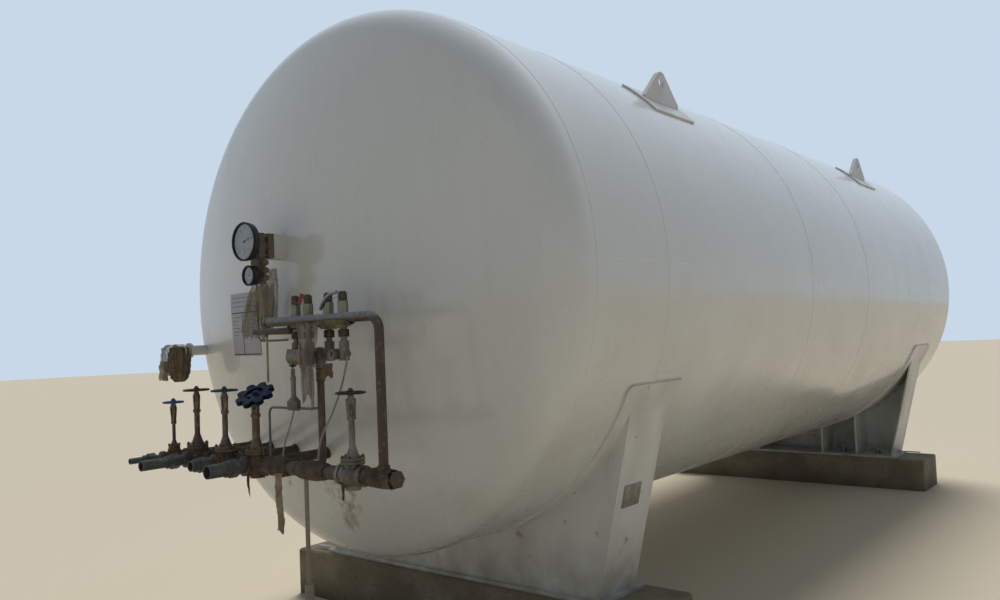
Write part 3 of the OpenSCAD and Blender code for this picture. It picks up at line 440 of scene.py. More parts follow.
# Old polythene film: clear at first, now yellow-brown with dust in its folds
def oldPolythene(name, dark, light, stain, clearest):
    material, place = newMaterial(name, IOR=1.5, Roughness=0.35)
    streaks = patch(place, 14.0, 0.38, 0.66, detail=5, stretch=(2.2, 2.2, 0.35))
    stains = patch(place, 9.0, 0.5, 0.72, detail=6, shift=(2, 5, 1))
    colour = layer(layer(dark, light, streaks), stain, stains, 0.7)
    solid = wear(clearest, clearest * 0.5 + 0.62, stains, streaks)
    return dress(material, {"Base Color": colour, "Alpha": solid}, (patch(place, 70.0, 0.3, 0.7), 0.002, 0.6))


# Sacking soaked with mud and dried stiff: brown, with paler crusts and rusty patches
def muddySacking(name, mud, cloth):
    material, place = newMaterial(name, Roughness=0.95)
    broad = patch(place, 16.0, 0.36, 0.66, detail=6)
    rusty = patch(place, 12.0, 0.55, 0.7, detail=5, shift=(4, 2, 7))
    crust = patch(place, 55.0, 0.6, 0.74, detail=6)
    colour = layer(layer(mud, cloth, broad), "#53331f", rusty, 0.7)
    colour = layer(colour, "#8b7f6c", crust, 0.7)
    weave = patch(place, 420.0, 0.35, 0.65, detail=2)
    return dress(material, {"Base Color": colour}, (broad, 0.004, 0.7), (crust, 0.002, 0.8),
                 (weave, 0.0005, 0.6))


# Printed card and paper: matt, a little yellowed, with faint stains
def printedPaper(name, clean, yellowed, roughness):
    material, place = newMaterial(name, Roughness=roughness)
    colour = layer(clean, yellowed, patch(place, 20.0, 0.4, 0.75, detail=5), 0.6)
    return dress(material, {"Base Color": colour}, (patch(place, 600.0, 0.3, 0.7, detail=2), 0.0001, 0.3))


# Window glass of a dial: clear, dusty towards its edge
def dialPane():
    material, place = newMaterial("dial window glass", IOR=1.5, Transmission_Weight=1.0)
    dust = patch(place, 45.0, 0.35, 0.75, detail=6)
    return dress(material, {"Base Color": layer("#ffffff", "#b8ad98", dust, 0.35),
                            "Roughness": wear(0.02, 0.22, dust)})


# Thin etched aluminium of a nameplate, bare and gone dull
def etchedAluminium():
    material, place = newMaterial("etched aluminium", Metallic=0.45)
    dull = patch(place, 25.0, 0.35, 0.7, detail=5)
    brushed = patch(place, 300.0, 0.3, 0.7, stretch=(0.1, 1, 1))
    return dress(material, {"Base Color": layer("#97928a", "#7a756d", dull),
                            "Roughness": wear(0.35, 0.6, dull)}, (brushed, 0.0001, 0.4))


finishes = {
    "jacket": jacketTopcoat(),
    "saddle": saddleTopcoat(),
    "concrete": castConcrete(),
    "stainedPipe": stainedSteel("stained stainless pipe", "#524436", "#3d3025", "#857b6a"),
    "stainedValve": stainedSteel("stained valve casting", "#63533f", "#4d382b", "#9c8c76", 0.8),
    "paleValve": stainedSteel("dusty valve casting", "#6f6354", "#54463a", "#a09686", 0.8),
    "greyValve": stainedSteel("grey valve casting", "#77736a", "#5a4e42", "#a09a8c", 0.8),
    "dullPipe": stainedSteel("dull outlet pipe", "#626a6a", "#4d4c46", "#82837d"),
    "ventPipe": stainedSteel("vent line, caked with mud below", "#4b3a2a", "#33261b", "#74644f",
                             bands=[(-0.6, -0.27, 0.01, "#8b8373", "#a39c8d")]),
    "headerPipe": stainedSteel("relief header, dusty on top", "#4e4033", "#3b2e24", "#7f7466",
                               bands=[(-0.204, -0.15, 0.012, "#666769", "#7c7d80")]),
    "riserPipe": stainedSteel("riser with its nut", "#554838", "#3f3226", "#857b6a",
                              bands=[(-0.421, -0.38, 0.001, "#6d6c62", "#88867b"),
                                     (-0.47, -0.425, 0.001, "#55461f", "#76673c")]),
    "oliveCast": stainedSteel("olive cast cap", "#46412f", "#332f22", "#6f6a54", 0.8),
    "galvanised": galvanisedPipe(),
    "brass": agedBrass("dark cast brass", "#2f2b1f", "#4c4630"),
    "brightBrass": agedBrass("bare brass thread", "#9f997a", "#cfc9ab"),
    "stainless": turnedStainless(),
    "navyEnamel": wheelEnamel("navy enamel", "#07112c", "#0f1c42", "outlet_handwheel", axisZ - 0.554),
    "blueEnamel": wheelEnamel("faded blue enamel", "#2c4f86", "#48688e", "level_handwheel"),
    "tealEnamel": wheelEnamel("dark teal enamel", "#23474f", "#33575c", "top_fill_handwheel"),
    "brownEnamel": wheelEnamel("rusted brown enamel", "#4a3528", "#5b4636", "bottom_fill_handwheel"),
    "greyEnamel": wheelEnamel("worn black enamel", "#2e3030", "#484741", "bypass_handwheel"),
    "blackEnamel": wheelEnamel("black enamel", "#232323", "#35332f"),
    "blackCase": mouldedCase("moulded black case", "#1d1e20", "#5a5549", 0.45),
    "khakiCase": mouldedCase("dusty brown casting", "#615747", "#857a66", 0.6),
    # Prop tube: its pale tan is partly its own colour and partly painted sunlight; the paler patches are dust
    "propTube": mouldedCase("prop tube, pale with painted sunlight, dusty", "#8f8675", "#a69d8b", 0.7),
    "paleTube": mouldedCase("dusty small tube", "#85857a", "#a09c8e", 0.6),
    "redTag": mouldedCase("red polyester tag", "#8e1f24", "#7b4a3e", 0.5),
    "printInk": mouldedCase("black printing ink", "#23242a", "#3a3a3c", 0.6),
    "dialCard": printedPaper("printed dial card", "#8f9392", "#77736a", 0.5),
    "paper": printedPaper("laminated paper", "#a9a8b0", "#97958f", 0.4),
    "pane": dialPane(),
    "etchedPlate": etchedAluminium(),
    "film": oldPolythene("old polythene film", "#72654a", "#968b6c", "#5c4a30", 0.26),
    "muddyFilm": oldPolythene("muddy polythene film", "#5a4839", "#7b6c5b", "#453526", 0.62),
    "rag": muddySacking("muddy sacking", "#3c3228", "#66584a"),
    "khakiRag": muddySacking("khaki sacking", "#5d4f3c", "#7f705a"),
    "mossRag": muddySacking("moss-stained rag", "#4d4a30", "#77734f"),
    "tanRag": muddySacking("sun-bleached tape", "#8f8069", "#a99b82"),
    "paleRag": muddySacking("dusty cotton rag", "#a59a86", "#c9c2b4"),
}
print("materials made:", len(finishes))

nodeFinishes = {
    "saddle": ["front_wear_pad", "rear_wear_pad", "front_saddle_web", "rear_saddle_web",
               "front_saddle_end_plates", "rear_saddle_end_plates", "front_saddle_ribs", "rear_saddle_ribs",
               "front_base_plate", "rear_base_plate", "lug_pads", "lifting_lugs", "gauge_bracket",
               "fill_nozzle"],
    "concrete": ["front_plinth", "rear_plinth"],
    "stainedPipe": ["head_lines", "lower_line"],
    "ventPipe": ["vent_line"],
    "headerPipe": ["relief_header"],
    "riserPipe": ["riser"],
    "stainedValve": ["level_valve", "bottom_fill_valve", "outlet_valve"],
    "paleValve": ["top_fill_valve"],
    "greyValve": ["bypass_valve", "changeover_bar", "sampling_valve"],
    "dullPipe": ["outlet_lines", "sampling_tube"],
    "propTube": ["pipe_prop"],
    "oliveCast": ["relief_caps"],
    "brass": ["relief_unions"],
    "stainless": ["relief_valves"],
    "navyEnamel": ["outlet_handwheel"],
    "blueEnamel": ["level_handwheel"],
    "tealEnamel": ["top_fill_handwheel"],
    "brownEnamel": ["bottom_fill_handwheel"],
    "greyEnamel": ["bypass_handwheel"],
    "blackEnamel": ["sampling_handle"],
    "blackCase": ["level_gauge", "pressure_gauge"],
    "khakiCase": ["gauge_block", "instrument_body"],
    "paleTube": ["gauge_tubes"],
}
for finish, names in nodeFinishes.items():
    for name in names:
        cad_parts[name].data.materials.clear()
        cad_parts[name].data.materials.append(finishes[finish])
print("finishes given to the nodes that stay")

# Jacket: both dished heads and the four courses of plates, each its own shell
jacket = {
    "segments": 288,
    "rim": 0.045,        # straight rim of a head
    "knuckle": 0.23,     # radius between rim and crown
    "knuckleRings": 18,
    "crownRings": 30,
    "tip": 0.0005,       # radius of the last ring, at the middle of a head
    "plate": 0.010,
    "beadWidth": 0.016,  # weld on each round seam
    "beadHeight": 0.0015,
    "beadToe": 0.0008,
    "ringStep": 0.25,    # between rings along a course
    "smoothed": 40,      # degrees between two faces that still shade as one
}
courses = ("first", "second", "third", "fourth")


def headRings():
    rim, knuckle = jacket["rim"], jacket["knuckle"]
    inner = shellRadius - knuckle
    crown = (inner ** 2 + (headDepth - rim) ** 2 - knuckle ** 2) / (2 * (headDepth - rim - knuckle))
    meet = math.asin(inner / (crown - knuckle))
    rings = [(0, shellRadius), (rim * 0.5, shellRadius), (rim, shellRadius)]
    for i in range(1, jacket["knuckleRings"] + 1):
        turn = (math.pi / 2 - meet) * i / jacket["knuckleRings"]
        rings.append((rim + knuckle * math.sin(turn), inner + knuckle * math.cos(turn)))
    for i in range(1, jacket["crownRings"] + 1):
        turn = meet * (1 - i / jacket["crownRings"])
        rings.append((headDepth - crown + crown * math.cos(turn), max(crown * math.sin(turn), jacket["tip"])))
    return rings


def addShell(name, nodeName, rings, start):
    shell = outwards(turned(rings, (start, 0, axisZ), "X", jacket["segments"], closed=False))
    addModifier(shell, "SOLIDIFY", thickness=jacket["plate"], offset=-1)
    settle(shell, name, "jacket", angle=jacket["smoothed"])
    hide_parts(nodeName)


def addCourse(order):
    low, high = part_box(order + "_course")
    wide, tall, toe = jacket["beadWidth"], jacket["beadHeight"], jacket["beadToe"]
    bead = [(0, 0), (toe, tall * 0.7), (wide * 0.3, tall), (wide * 0.7, tall), (wide - toe, tall * 0.7),
            (wide, 0)]
    rings = [(along, shellRadius + rise) for along, rise in bead]
    length = high.x - low.x
    count = max(2, round(length / jacket["ringStep"]))
    rings += [(wide + (length - wide) * i / count, shellRadius) for i in range(1, count + 1)]
    addShell(order + "CourseShell", order + "_course", rings, low.x)


addShell("frontHeadShell", "front_head", [(-along, radius) for along, radius in headRings()], frontSeam)
addShell("rearHeadShell", "rear_head", headRings(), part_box("rear_head")[0].x)
for courseOrder in courses:
    addCourse(courseOrder)
print("jacket made")

# Bonnet bolts with nuts on both sides of the flange pair, and a nut on top of each handwheel
valveBolts = {
    "count": 6,
    "firstTurn": 30,         # degrees
    "flangeLow": 0.0486,     # underside of the flange pair above the line
    "flangeHigh": 0.0736,
    "smallFlange": 0.025,    # thickness of the flange pair on the small valve
    "smallShare": 0.574,     # of the small valve's flange to the others
    "pitch": 0.0435,
    "nut": 0.0075,
    "nutHeight": 0.0065,
    "studBelow": 0.009,
    "studAbove": 0.0095,
}
wheelNut = {"radius": 0.0105, "height": 0.009, "standing": 0.25}  # share of it that stands above the hub
rowX = middleOf("level_handwheel").x
lineZ = axisZ - 0.865  # height of the line under the valve row
rowValves = {"level": "level_handwheel", "bottomFill": "bottom_fill_handwheel",
             "topFill": "top_fill_handwheel", "bypass": "bypass_handwheel", "outlet": "outlet_valve"}
rowPlaces = {name: middleOf(node).y for name, node in rowValves.items()}


def addValveBolts(name, y, share):
    low, high = valveBolts["flangeLow"] * share, valveBolts["flangeHigh"]
    if share < 1:
        high = low + valveBolts["smallFlange"]
    size, pitch = valveBolts["nut"] * (share + 1) / 2, valveBolts["pitch"] * share
    lower = hexPrism(size, low - valveBolts["nutHeight"], low)
    upper = hexPrism(size, high, high + valveBolts["nutHeight"])
    top = high + valveBolts["studAbove"]
    stud = turned([(low - valveBolts["studBelow"], size * 0.5), (top, size * 0.5),
                   (top + 0.0015, size * 0.38)], segments=12)
    places = []
    for i in range(valveBolts["count"]):
        turn = math.radians(valveBolts["firstTurn"] + 360 * i / valveBolts["count"])
        places.append((rowX + pitch * math.cos(turn), y + pitch * math.sin(turn), lineZ))
    settle(copyAt(joined([lower, upper, stud]), places), name + "BonnetBolts", "stainedValve")


def addWheelNut(name, nodeName):
    low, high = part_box(nodeName)
    height = wheelNut["height"]
    nut = hexPrism(wheelNut["radius"], 0, height)
    dome = turned([(height - 0.001, 0.0085), (height + 0.002, 0.0075), (height + 0.0045, 0.004),
                   (height + 0.005, 0.0005)], segments=20)
    place = (rowX, (low.y + high.y) / 2, high.z - height * (1 - wheelNut["standing"]))
    settle(copyAt(joined([nut, dome]), [place]), name, "stainedValve", body=nodeName)


for valveName, valveY in rowPlaces.items():
    addValveBolts(valveName, valveY, valveBolts["smallShare"] if valveName == "level" else 1.0)
for valveName, wheelNode in rowValves.items():
    if wheelNode.endswith("_handwheel"):
        addWheelNut(valveName + "WheelNut", wheelNode)
print("valve bolts made")

# Welds: straight seams of the plates, and fillets round the wear pads and along the saddle webs
welds = {
    "seamHeight": 0.022,    # of the straight seam above the axis, near side
    "seamRadius": 0.0035,
    "seamSunk": 0.0012,
    "seamStep": 0.03,
    "waver": 0.0008,
    "fillet": 0.0055,
    "padEdge": 66.4,        # degrees from the lowest line to a wear pad's edge
    "webEdge": 58,          # the same for the weld along a saddle's web
    "padLift": 0.0123,      # of the web weld's middle from the jacket
    "arcSteps": 90,
}


def arcPoints(x, radius, edge):
    turns = [math.radians(edge * (2 * i / welds["arcSteps"] - 1)) for i in range(welds["arcSteps"] + 1)]
    return [(x, radius * math.sin(turn), axisZ - radius * math.cos(turn)) for turn in turns]


def addFillets(name, lines):
    settle(joined([drawnTube(line, welds["fillet"], smooth=False) for line in lines]), name, "saddle")


def addWelds():
    out = math.sqrt(shellRadius ** 2 - welds["seamHeight"] ** 2) - welds["seamSunk"]
    seams = []
    for order in courses:
        low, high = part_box(order + "_course")
        count = max(4, int((high.x - low.x) / welds["seamStep"]))
        points = []
        for i in range(count + 1):
            waver = random.uniform(-welds["waver"], welds["waver"])
            points.append((low.x + (high.x - low.x) * i / count, -out, axisZ + welds["seamHeight"] + waver))
        seams.append(drawnTube(points, welds["seamRadius"], smooth=False))
    settle(joined(seams), "straightSeamWelds", "jacket")
    padRadius = shellRadius + 0.0003
    turn = math.radians(welds["padEdge"] + 0.15)
    y, z = padRadius * math.sin(turn), axisZ - padRadius * math.cos(turn)
    for end in ("front", "rear"):
        low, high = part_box(end + "_wear_pad")
        lines = [arcPoints(x, padRadius, welds["padEdge"] - 2.2) for x in (low.x, high.x)]
        lines += [[(low.x + 0.05, y * side, z), (high.x - 0.05, y * side, z)] for side in (-1, 1)]
        addFillets(end + "PadWelds", lines)
        low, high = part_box(end + "_saddle_web")
        lines = [arcPoints(x, shellRadius + welds["padLift"], welds["webEdge"]) for x in (low.x, high.x)]
        lines += [[(x, low.y + 0.03, low.z), (x, high.y - 0.03, low.z)] for x in (low.x, high.x)]
        addFillets(end + "SaddleWelds", lines)


addWelds()
print("welds made")

# Anchor bolts between the stiffeners of each saddle
anchors = {"washer": 0.031, "washerTop": 0.005, "nut": 0.027, "nutTop": 0.031, "stud": 0.015, "reach": 0.07,
           "bevel": 0.002, "aside": 0.04, "rows": (-0.86, -0.52, 0.52, 0.86)}


def addAnchors(end, side):
    low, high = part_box(end + "_base_plate")
    washer = turned([(0, anchors["washer"]), (anchors["washerTop"], anchors["washer"])])
    nut = hexPrism(anchors["nut"], anchors["washerTop"], anchors["nutTop"])
    stud = turned([(0.03, anchors["stud"]), (anchors["reach"] - anchors["bevel"], anchors["stud"]),
                   (anchors["reach"], anchors["stud"] - anchors["bevel"])], segments=24)
    x = (low.x + high.x) / 2 + side * anchors["aside"]
    bolts = copyAt(joined([washer, nut, stud]), [(x, y, high.z) for y in anchors["rows"]])
    settle(bolts, end + "AnchorBolts", "galvanised")


addAnchors("front", 1)
addAnchors("rear", -1)
print("anchor bolts made")

# Dials: a printed face with scale marks, numbers, a needle and a pane
dial = {
    "rim": 0.009,
    "recess": 0.007,    # of the face behind the front of its case
    "card": 0.0008,
    "marks": 41,
    "numbers": 11,
    "sweep": 270,       # degrees from the first mark to the last
}
# Turns a flat piece so that it faces the valve end
facing = Matrix(((0, 0, -1), (-1, 0, 0), (0, 1, 0))).to_4x4()


def addDial(name, nodeName, needleTurn):
    low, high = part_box(nodeName)
    radius = (high.y - low.y) / 2 - dial["rim"]
    middle = Vector((low.x + dial["recess"], (low.y + high.y) / 2, (low.z + high.z) / 2))
    face = turned([(0, radius), (-dial["card"], radius), (-dial["card"], 0.0005)], middle, "X", 72)
    settle(face, name + "Face", "dialCard")
    front = Vector((middle.x - dial["card"], middle.y, middle.z))
    marks = []
    for i in range(dial["marks"]):
        wide, long = (0.022, 0.13) if i % 4 == 0 else (0.01, 0.07)
        turn = math.radians(dial["sweep"] * (i / (dial["marks"] - 1) - 0.5))
        mark = addBlock((0.0004, radius * wide, radius * long))
        mark.matrix_world = (Matrix.Translation(front) @ Matrix.Rotation(turn, 4, "X")
                             @ Matrix.Translation((0, 0, radius * (0.93 - long / 2))))
        applyPlace(mark)
        marks.append(mark)
    for i in range(dial["numbers"]):
        turn = math.radians(dial["sweep"] * (i / (dial["numbers"] - 1) - 0.5))
        clearSelection()
        bpy.ops.object.text_add()
        number = bpy.context.object
        number.data.body = str(i)
        number.data.size = radius * 0.17
        number.data.align_x = "CENTER"
        number.data.align_y = "CENTER"
        number.data.extrude = 0.0002
        bpy.ops.object.convert(target="MESH")
        number = bpy.context.object
        spot = front + Vector((0, -math.sin(turn), math.cos(turn))) * radius * 0.7
        number.matrix_world = Matrix.Translation(spot) @ facing
        applyPlace(number)
        marks.append(number)
    settle(joined(marks), name + "Scale", "printInk")
    needle = turned([(-radius * 0.24, radius * 0.035), (0, radius * 0.05), (radius * 0.3, radius * 0.035),
                     (radius * 0.72, radius * 0.008)], segments=4)
    needle.matrix_world = Matrix.Diagonal((0.3, 1, 1, 1))
    applyPlace(needle)
    boss = turned([(0.001, radius * 0.09), (-0.003, radius * 0.08), (-0.0035, radius * 0.05)], axis="X",
                  segments=24)
    needle = joined([needle, boss])
    needle.matrix_world = (Matrix.Translation(front - Vector((0.002, 0, 0)))
                           @ Matrix.Rotation(math.radians(needleTurn), 4, "X"))
    settle(needle, name + "Needle", "printInk")
    pane = turned([(0, radius + 0.002), (-0.002, radius + 0.002), (-0.0022, 0.0005)],
                  front - Vector((0.0035, 0, 0)), "X", 72)
    settle(pane, name + "Pane", "pane")
    outer = radius + dial["rim"]
    rim = [(0.0005, outer + 0.0002), (-0.004, outer + 0.0014), (-0.0065, outer - 0.001),
           (-0.0065, radius + 0.003), (-0.003, radius + 0.0005), (0.003, radius + 0.0003), (0.003, outer),
           (0.0005, outer + 0.0002)]
    bezel = outwards(turned(rim, (low.x + 0.0005, middle.y, middle.z), "X", 96, closed=False))
    settle(bezel, name + "Bezel", "blackEnamel")


addDial("levelDial", "level_gauge", 74)
addDial("pressureDial", "pressure_gauge", 28)
print("dials made")

# Clamp bolts of the pressure cell behind the level dial
cell = {"inset": 0.014, "nut": 0.0085, "height": 0.007}


def addCellBolts():
    low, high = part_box("instrument_body")
    depth, nut, inset = high.x - low.x, cell["nut"], cell["inset"]
    head = hexPrism(nut, -cell["height"], 0, "X")
    tail = hexPrism(nut, depth, depth + cell["height"], "X")
    shank = turned([(0, nut * 0.55), (depth, nut * 0.55)], axis="X", segments=12)
    places = [(low.x, y, z) for y in (low.y + inset, high.y - inset) for z in (low.z + inset, high.z - inset)]
    settle(copyAt(joined([head, shank, tail]), places), "pressureCellBolts", "galvanised")


addCellBolts()

# Bare brass of the thread between each union nut and its relief valve
reliefPlaces = (-0.293, -0.384, -0.526, -0.624)
reliefX = rowX + 0.055
thread = {"radius": 0.0155, "crest": 0.0008, "turns": 6, "pitch": 0.0016, "low": -0.2565}


def addThreads():
    rings = [(i * thread["pitch"] / 2, thread["radius"] + thread["crest"] * (i % 2))
             for i in range(thread["turns"] * 2 + 1)]
    places = [(reliefX, y, axisZ + thread["low"]) for y in reliefPlaces]
    settle(copyAt(turned(rings), places), "unionThreads", "brightBrass")


addThreads()

# Lead seals: wire through the caps of the relief valves, a red tag between the first two, and the
# slanted seal rod between the last two
seals = {
    "height": -0.113,        # of the wire, from the axis
    "wire": 0.0009,
    "sags": (0.012, 0.01),
    "tagSize": (0.0016, 0.02, 0.05),
    "tagY": -0.362,
    "tagTurn": 0.5,
    "tagLean": 0.35,
    "rod": 0.0075,
    "rodPath": [(-0.022, -0.5, -0.05), (-0.032, -0.535, -0.018), (-0.034, -0.575, 0.008),
                (-0.03, -0.625, 0.018)],
}


def addSeals():
    z = axisZ + seals["height"]
    wires = []
    for pair, sag in enumerate(seals["sags"]):
        a, b = reliefPlaces[pair * 2:pair * 2 + 2]
        path = [(reliefX - 0.02, a, z), (reliefX - 0.024, (a + b) / 2, z - sag), (reliefX - 0.02, b, z)]
        wires.append(drawnTube(path, seals["wire"]))
    settle(joined(wires), "sealWires", "stainless")
    tag = addBlock(seals["tagSize"])
    tag.matrix_world = (Matrix.Translation((reliefX - 0.022, seals["tagY"], z + 0.002))
                        @ Matrix.Rotation(seals["tagTurn"], 4, "Z")
                        @ Matrix.Rotation(seals["tagLean"], 4, "X"))
    applyPlace(tag)
    addModifier(tag, "BEVEL", width=0.0007, segments=2)
    settle(tag, "redSealTag", "redTag")
    rod = drawnTube([(reliefX + x, y, z + rise) for x, y, rise in seals["rodPath"]], seals["rod"], rounding=2)
    settle(rod, "reliefLever", "galvanised")


addSeals()
print("relief details made")

# Small tubes round the relief line: radius, then the places they pass
drainTubes = {
    "slantedDrainTube": (0.0045, [(-0.765, -0.668, -0.372), (-0.775, -0.668, -0.41), (-0.785, -0.64, -0.51),
                                  (-0.795, -0.6, -0.6), (-0.8, -0.508, -0.747), (-0.8, -0.49, -0.838)]),
    "leaningDrainTube": (0.004, [(-0.79, -0.322, -0.6), (-0.8, -0.31, -0.66), (-0.8, -0.255, -0.77),
                                 (-0.8, -0.236, -0.838)]),
}
for tubeName, (tubeRadius, tubePath) in drainTubes.items():
    settle(drawnTube([inTank(*place) for place in tubePath], tubeRadius), tubeName, "paleTube")
print("drain tubes made")

# Nameplate on the near end plate of the front saddle, on two straps, with a rivet at each corner
nameplate = {
    "size": (0.165, 0.0015, 0.118),
    "aside": -0.033,
    "below": 1.16,           # of its middle from the axis
    "slope": 0.237,          # how far the end plate leans out over its height
    "clear": 0.004,
    "strap": (0.1485, 0.005, 0.018),
    "strapHeight": 0.044,
    "rivet": 0.003,
    "rivetsAt": (0.074, 0.05),
}


def addNameplate():
    low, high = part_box("front_saddle_end_plates")
    lean = math.atan2(nameplate["slope"], high.z - low.z)
    z = axisZ - nameplate["below"]
    y = low.y + (high.z - z) * math.tan(lean) - 0.0002 - nameplate["clear"]
    x = (low.x + high.x) / 2 + nameplate["aside"]
    place = Matrix.Translation((x, y, z)) @ Matrix.Rotation(lean, 4, "X")
    plate = addBlock(nameplate["size"])
    addModifier(plate, "BEVEL", width=0.0006, segments=2)
    straps = [addBlock(nameplate["strap"], (0, 0.003, side * nameplate["strapHeight"])) for side in (-1, 1)]
    plate = joined([plate, *straps])
    plate.matrix_world = place
    settle(plate, "bareNameplate", "etchedPlate")
    radius = nameplate["rivet"]
    head = turned([(0, radius), (-0.0012, radius * 0.8), (-0.0017, 0.0004)], axis="Y", segments=16)
    aside, above = nameplate["rivetsAt"]
    rivets = copyAt(head, [(x, -0.0008, height) for x in (-aside, aside) for height in (-above, above)])
    rivets.matrix_world = place
    settle(rivets, "nameplateRivets", "galvanised")


addNameplate()
print("nameplate made")


# Sheets: film and rags that were wound round the pipes, folded by sculpt-like moves of their points
def crumple(piece, middle, axis, look):
    along = axisVector[axis]
    shift = Vector((random.uniform(0, 40), random.uniform(0, 40), random.uniform(0, 40)))
    runs = [(vertex.co - middle).dot(along) for vertex in piece.data.vertices]
    half = max(abs(run) for run in runs)
    for vertex, run in zip(piece.data.vertices, runs):
        direction = (vertex.co - middle - along * run).normalized()
        pleat = noise.noise(direction * 4.5 + along * run * 2.5 + shift)
        grain = noise.noise(vertex.co * 38 + shift) + 0.5 * noise.noise(vertex.co * 95 + shift)
        tear = noise.noise(direction * 3.0 + shift * 2) * look["frayed"] * run / half
        vertex.co += direction * (pleat * look["fold"] + grain * look["crumb"]) + along * tear


def tattered(piece, share):
    makeActive(piece)
    bpy.ops.object.mode_set(mode="EDIT")
    bpy.ops.mesh.select_mode(type="FACE")
    bpy.ops.mesh.select_all(action="DESELECT")
    bpy.ops.object.mode_set(mode="OBJECT")
    for polygon in piece.data.polygons:
        polygon.select = noise.noise(polygon.center * 55) > share
    bpy.ops.object.mode_set(mode="EDIT")
    bpy.ops.mesh.delete(type="FACE")
    bpy.ops.mesh.select_mode(type="VERT")
    bpy.ops.object.mode_set(mode="OBJECT")


# An open tube of cloth or film with the given radius at each place along it
def addWrap(name, middle, axis, profile, look, *rests, lean=0.0):
    middle = Vector(middle)
    rings = []
    for (start, first), (end, last) in zip(profile, profile[1:]):
        count = max(1, round(abs(end - start) / 0.008))
        for i in range(count):
            share = i / count
            rings.append((start + (end - start) * share, first + (last - first) * share))
    rings.append(profile[-1])
    piece = turned(rings, middle, axis, look["segments"], closed=False)
    applyPlace(piece)
    crumple(piece, middle, axis, look)
    if look["holes"] < 1:
        tattered(piece, look["holes"])
    for vertex in piece.data.vertices:
        vertex.co.y += (middle.z - vertex.co.z) * lean
    settle(piece, name, look["finish"], angle=70)


# A strip that hangs from its top edge, folded along its length and torn at the foot
def addScrap(name, top, width, length, turn, look, narrow=0.4):
    top = inTank(*top)
    clearSelection()
    bpy.ops.mesh.primitive_grid_add(x_subdivisions=14, y_subdivisions=max(12, round(length / 0.008)), size=1)
    piece = bpy.context.object
    turn = math.radians(turn)
    piece.matrix_world = (Matrix.Translation(top) @ Matrix.Rotation(turn, 4, "Z")
                          @ Matrix.Rotation(math.radians(90), 4, "X")
                          @ Matrix.Translation((0, -length / 2, 0)) @ Matrix.Diagonal((width, length, 1, 1)))
    applyPlace(piece)
    shift = Vector((random.uniform(0, 40), random.uniform(0, 40), 0))
    across = Vector((math.cos(turn), math.sin(turn), 0))
    outward = Vector((-across.y, across.x, 0))
    for vertex in piece.data.vertices:
        down = (top.z - vertex.co.z) / length
        aside = (vertex.co - top).dot(across)
        vertex.co -= across * aside * narrow * down
        bend = noise.noise(Vector((aside * 28, down * 1.2, 0)) + shift) * look["fold"] * 1.6
        grain = noise.noise(vertex.co * 60 + shift) * look["crumb"]
        sway = noise.noise(Vector((0, down * 1.6, 3)) + shift) * width * 0.45 * down
        vertex.co += outward * (bend + grain) + across * sway
        vertex.co.z += noise.noise(Vector((aside * 40, 0, 7)) + shift) * 0.03 * down
    settle(piece, name, look["finish"], angle=70)


# Clear film gone yellow and brown with dust, and sacking stiff with mud
oldFilm = {"finish": "film", "segments": 96, "fold": 0.018, "crumb": 0.0035, "frayed": 0.03, "holes": 0.62}
tubeFilm = dict(oldFilm, fold=0.01, frayed=0.02)
nozzleFilm = dict(oldFilm, fold=0.02, crumb=0.006, frayed=0.0)
muddyFilm = dict(oldFilm, finish="muddyFilm", fold=0.012)
mudRag = {"finish": "rag", "segments": 72, "fold": 0.006, "crumb": 0.0045, "frayed": 0.02, "holes": 0.66}
mossRag = dict(mudRag, finish="mossRag", fold=0.008)
barRag = dict(mudRag, finish="khakiRag", fold=0.012)
nozzleRag = dict(mudRag, finish="khakiRag", fold=0.02, crumb=0.007, frayed=0.0, holes=1.0)
lineRag = dict(mudRag, fold=0.003, crumb=0.003, frayed=0.01, holes=1.0)
looseRag = dict(mudRag, fold=0.012, crumb=0.005)
whiteRag = dict(mudRag, finish="paleRag", fold=0.016, crumb=0.008)
tanRag = dict(mudRag, finish="tanRag", fold=0.008, crumb=0.008)

addWrap("gaugeTubeFilm", inTank(-0.6, 0.198, -0.14), "Z",
        [(0.13, 0.045), (0.06, 0.062), (-0.02, 0.07), (-0.09, 0.065), (-0.13, 0.05)], oldFilm,
        "gauge_block", "gauge_tubes", lean=0.33)
addWrap("gaugeTubeInnerFilm", inTank(-0.6, 0.11, -0.07), "Z",
        [(0.14, 0.028), (0.08, 0.04), (0.0, 0.045), (-0.1, 0.045), (-0.16, 0.026)], tubeFilm, "gauge_tubes",
        lean=0.12)
addScrap("reliefFilm", (-0.832, -0.485, -0.222), 0.125, 0.2, -78, muddyFilm, 0.3)
addScrap("reliefStrip", (-0.82, -0.463, -0.33), 0.075, 0.22, -75, muddyFilm, 0.45)
addScrap("reliefString", (-0.815, -0.425, -0.37), 0.026, 0.19, -75, muddyFilm, 0.3)
addScrap("reliefTail", (-0.815, -0.482, -0.42), 0.03, 0.19, -75, muddyFilm, 0.5)
addScrap("barStrip", (-0.79, -0.565, -0.4), 0.045, 0.06, -60, barRag, 0.1)
addWrap("headerRag", (rowX, -0.625, axisZ - 0.224), "Y",
        [(0.1, 0.016), (0.05, 0.027), (-0.05, 0.025), (-0.11, 0.015)], mossRag, "relief_header")
addWrap("nozzleWrap", inTank(-0.452, 1.235, -0.385), "Z",
        [(0.09, 0.018), (0.08, 0.05), (0.03, 0.06), (-0.06, 0.056), (-0.1, 0.045), (-0.125, 0.02)], nozzleRag,
        "fill_nozzle")
addWrap("nozzleFilm", inTank(-0.478, 1.262, -0.372), "Z",
        [(0.085, 0.02), (0.065, 0.05), (0.0, 0.062), (-0.06, 0.056), (-0.1, 0.03)], nozzleFilm,
        "fill_nozzle")
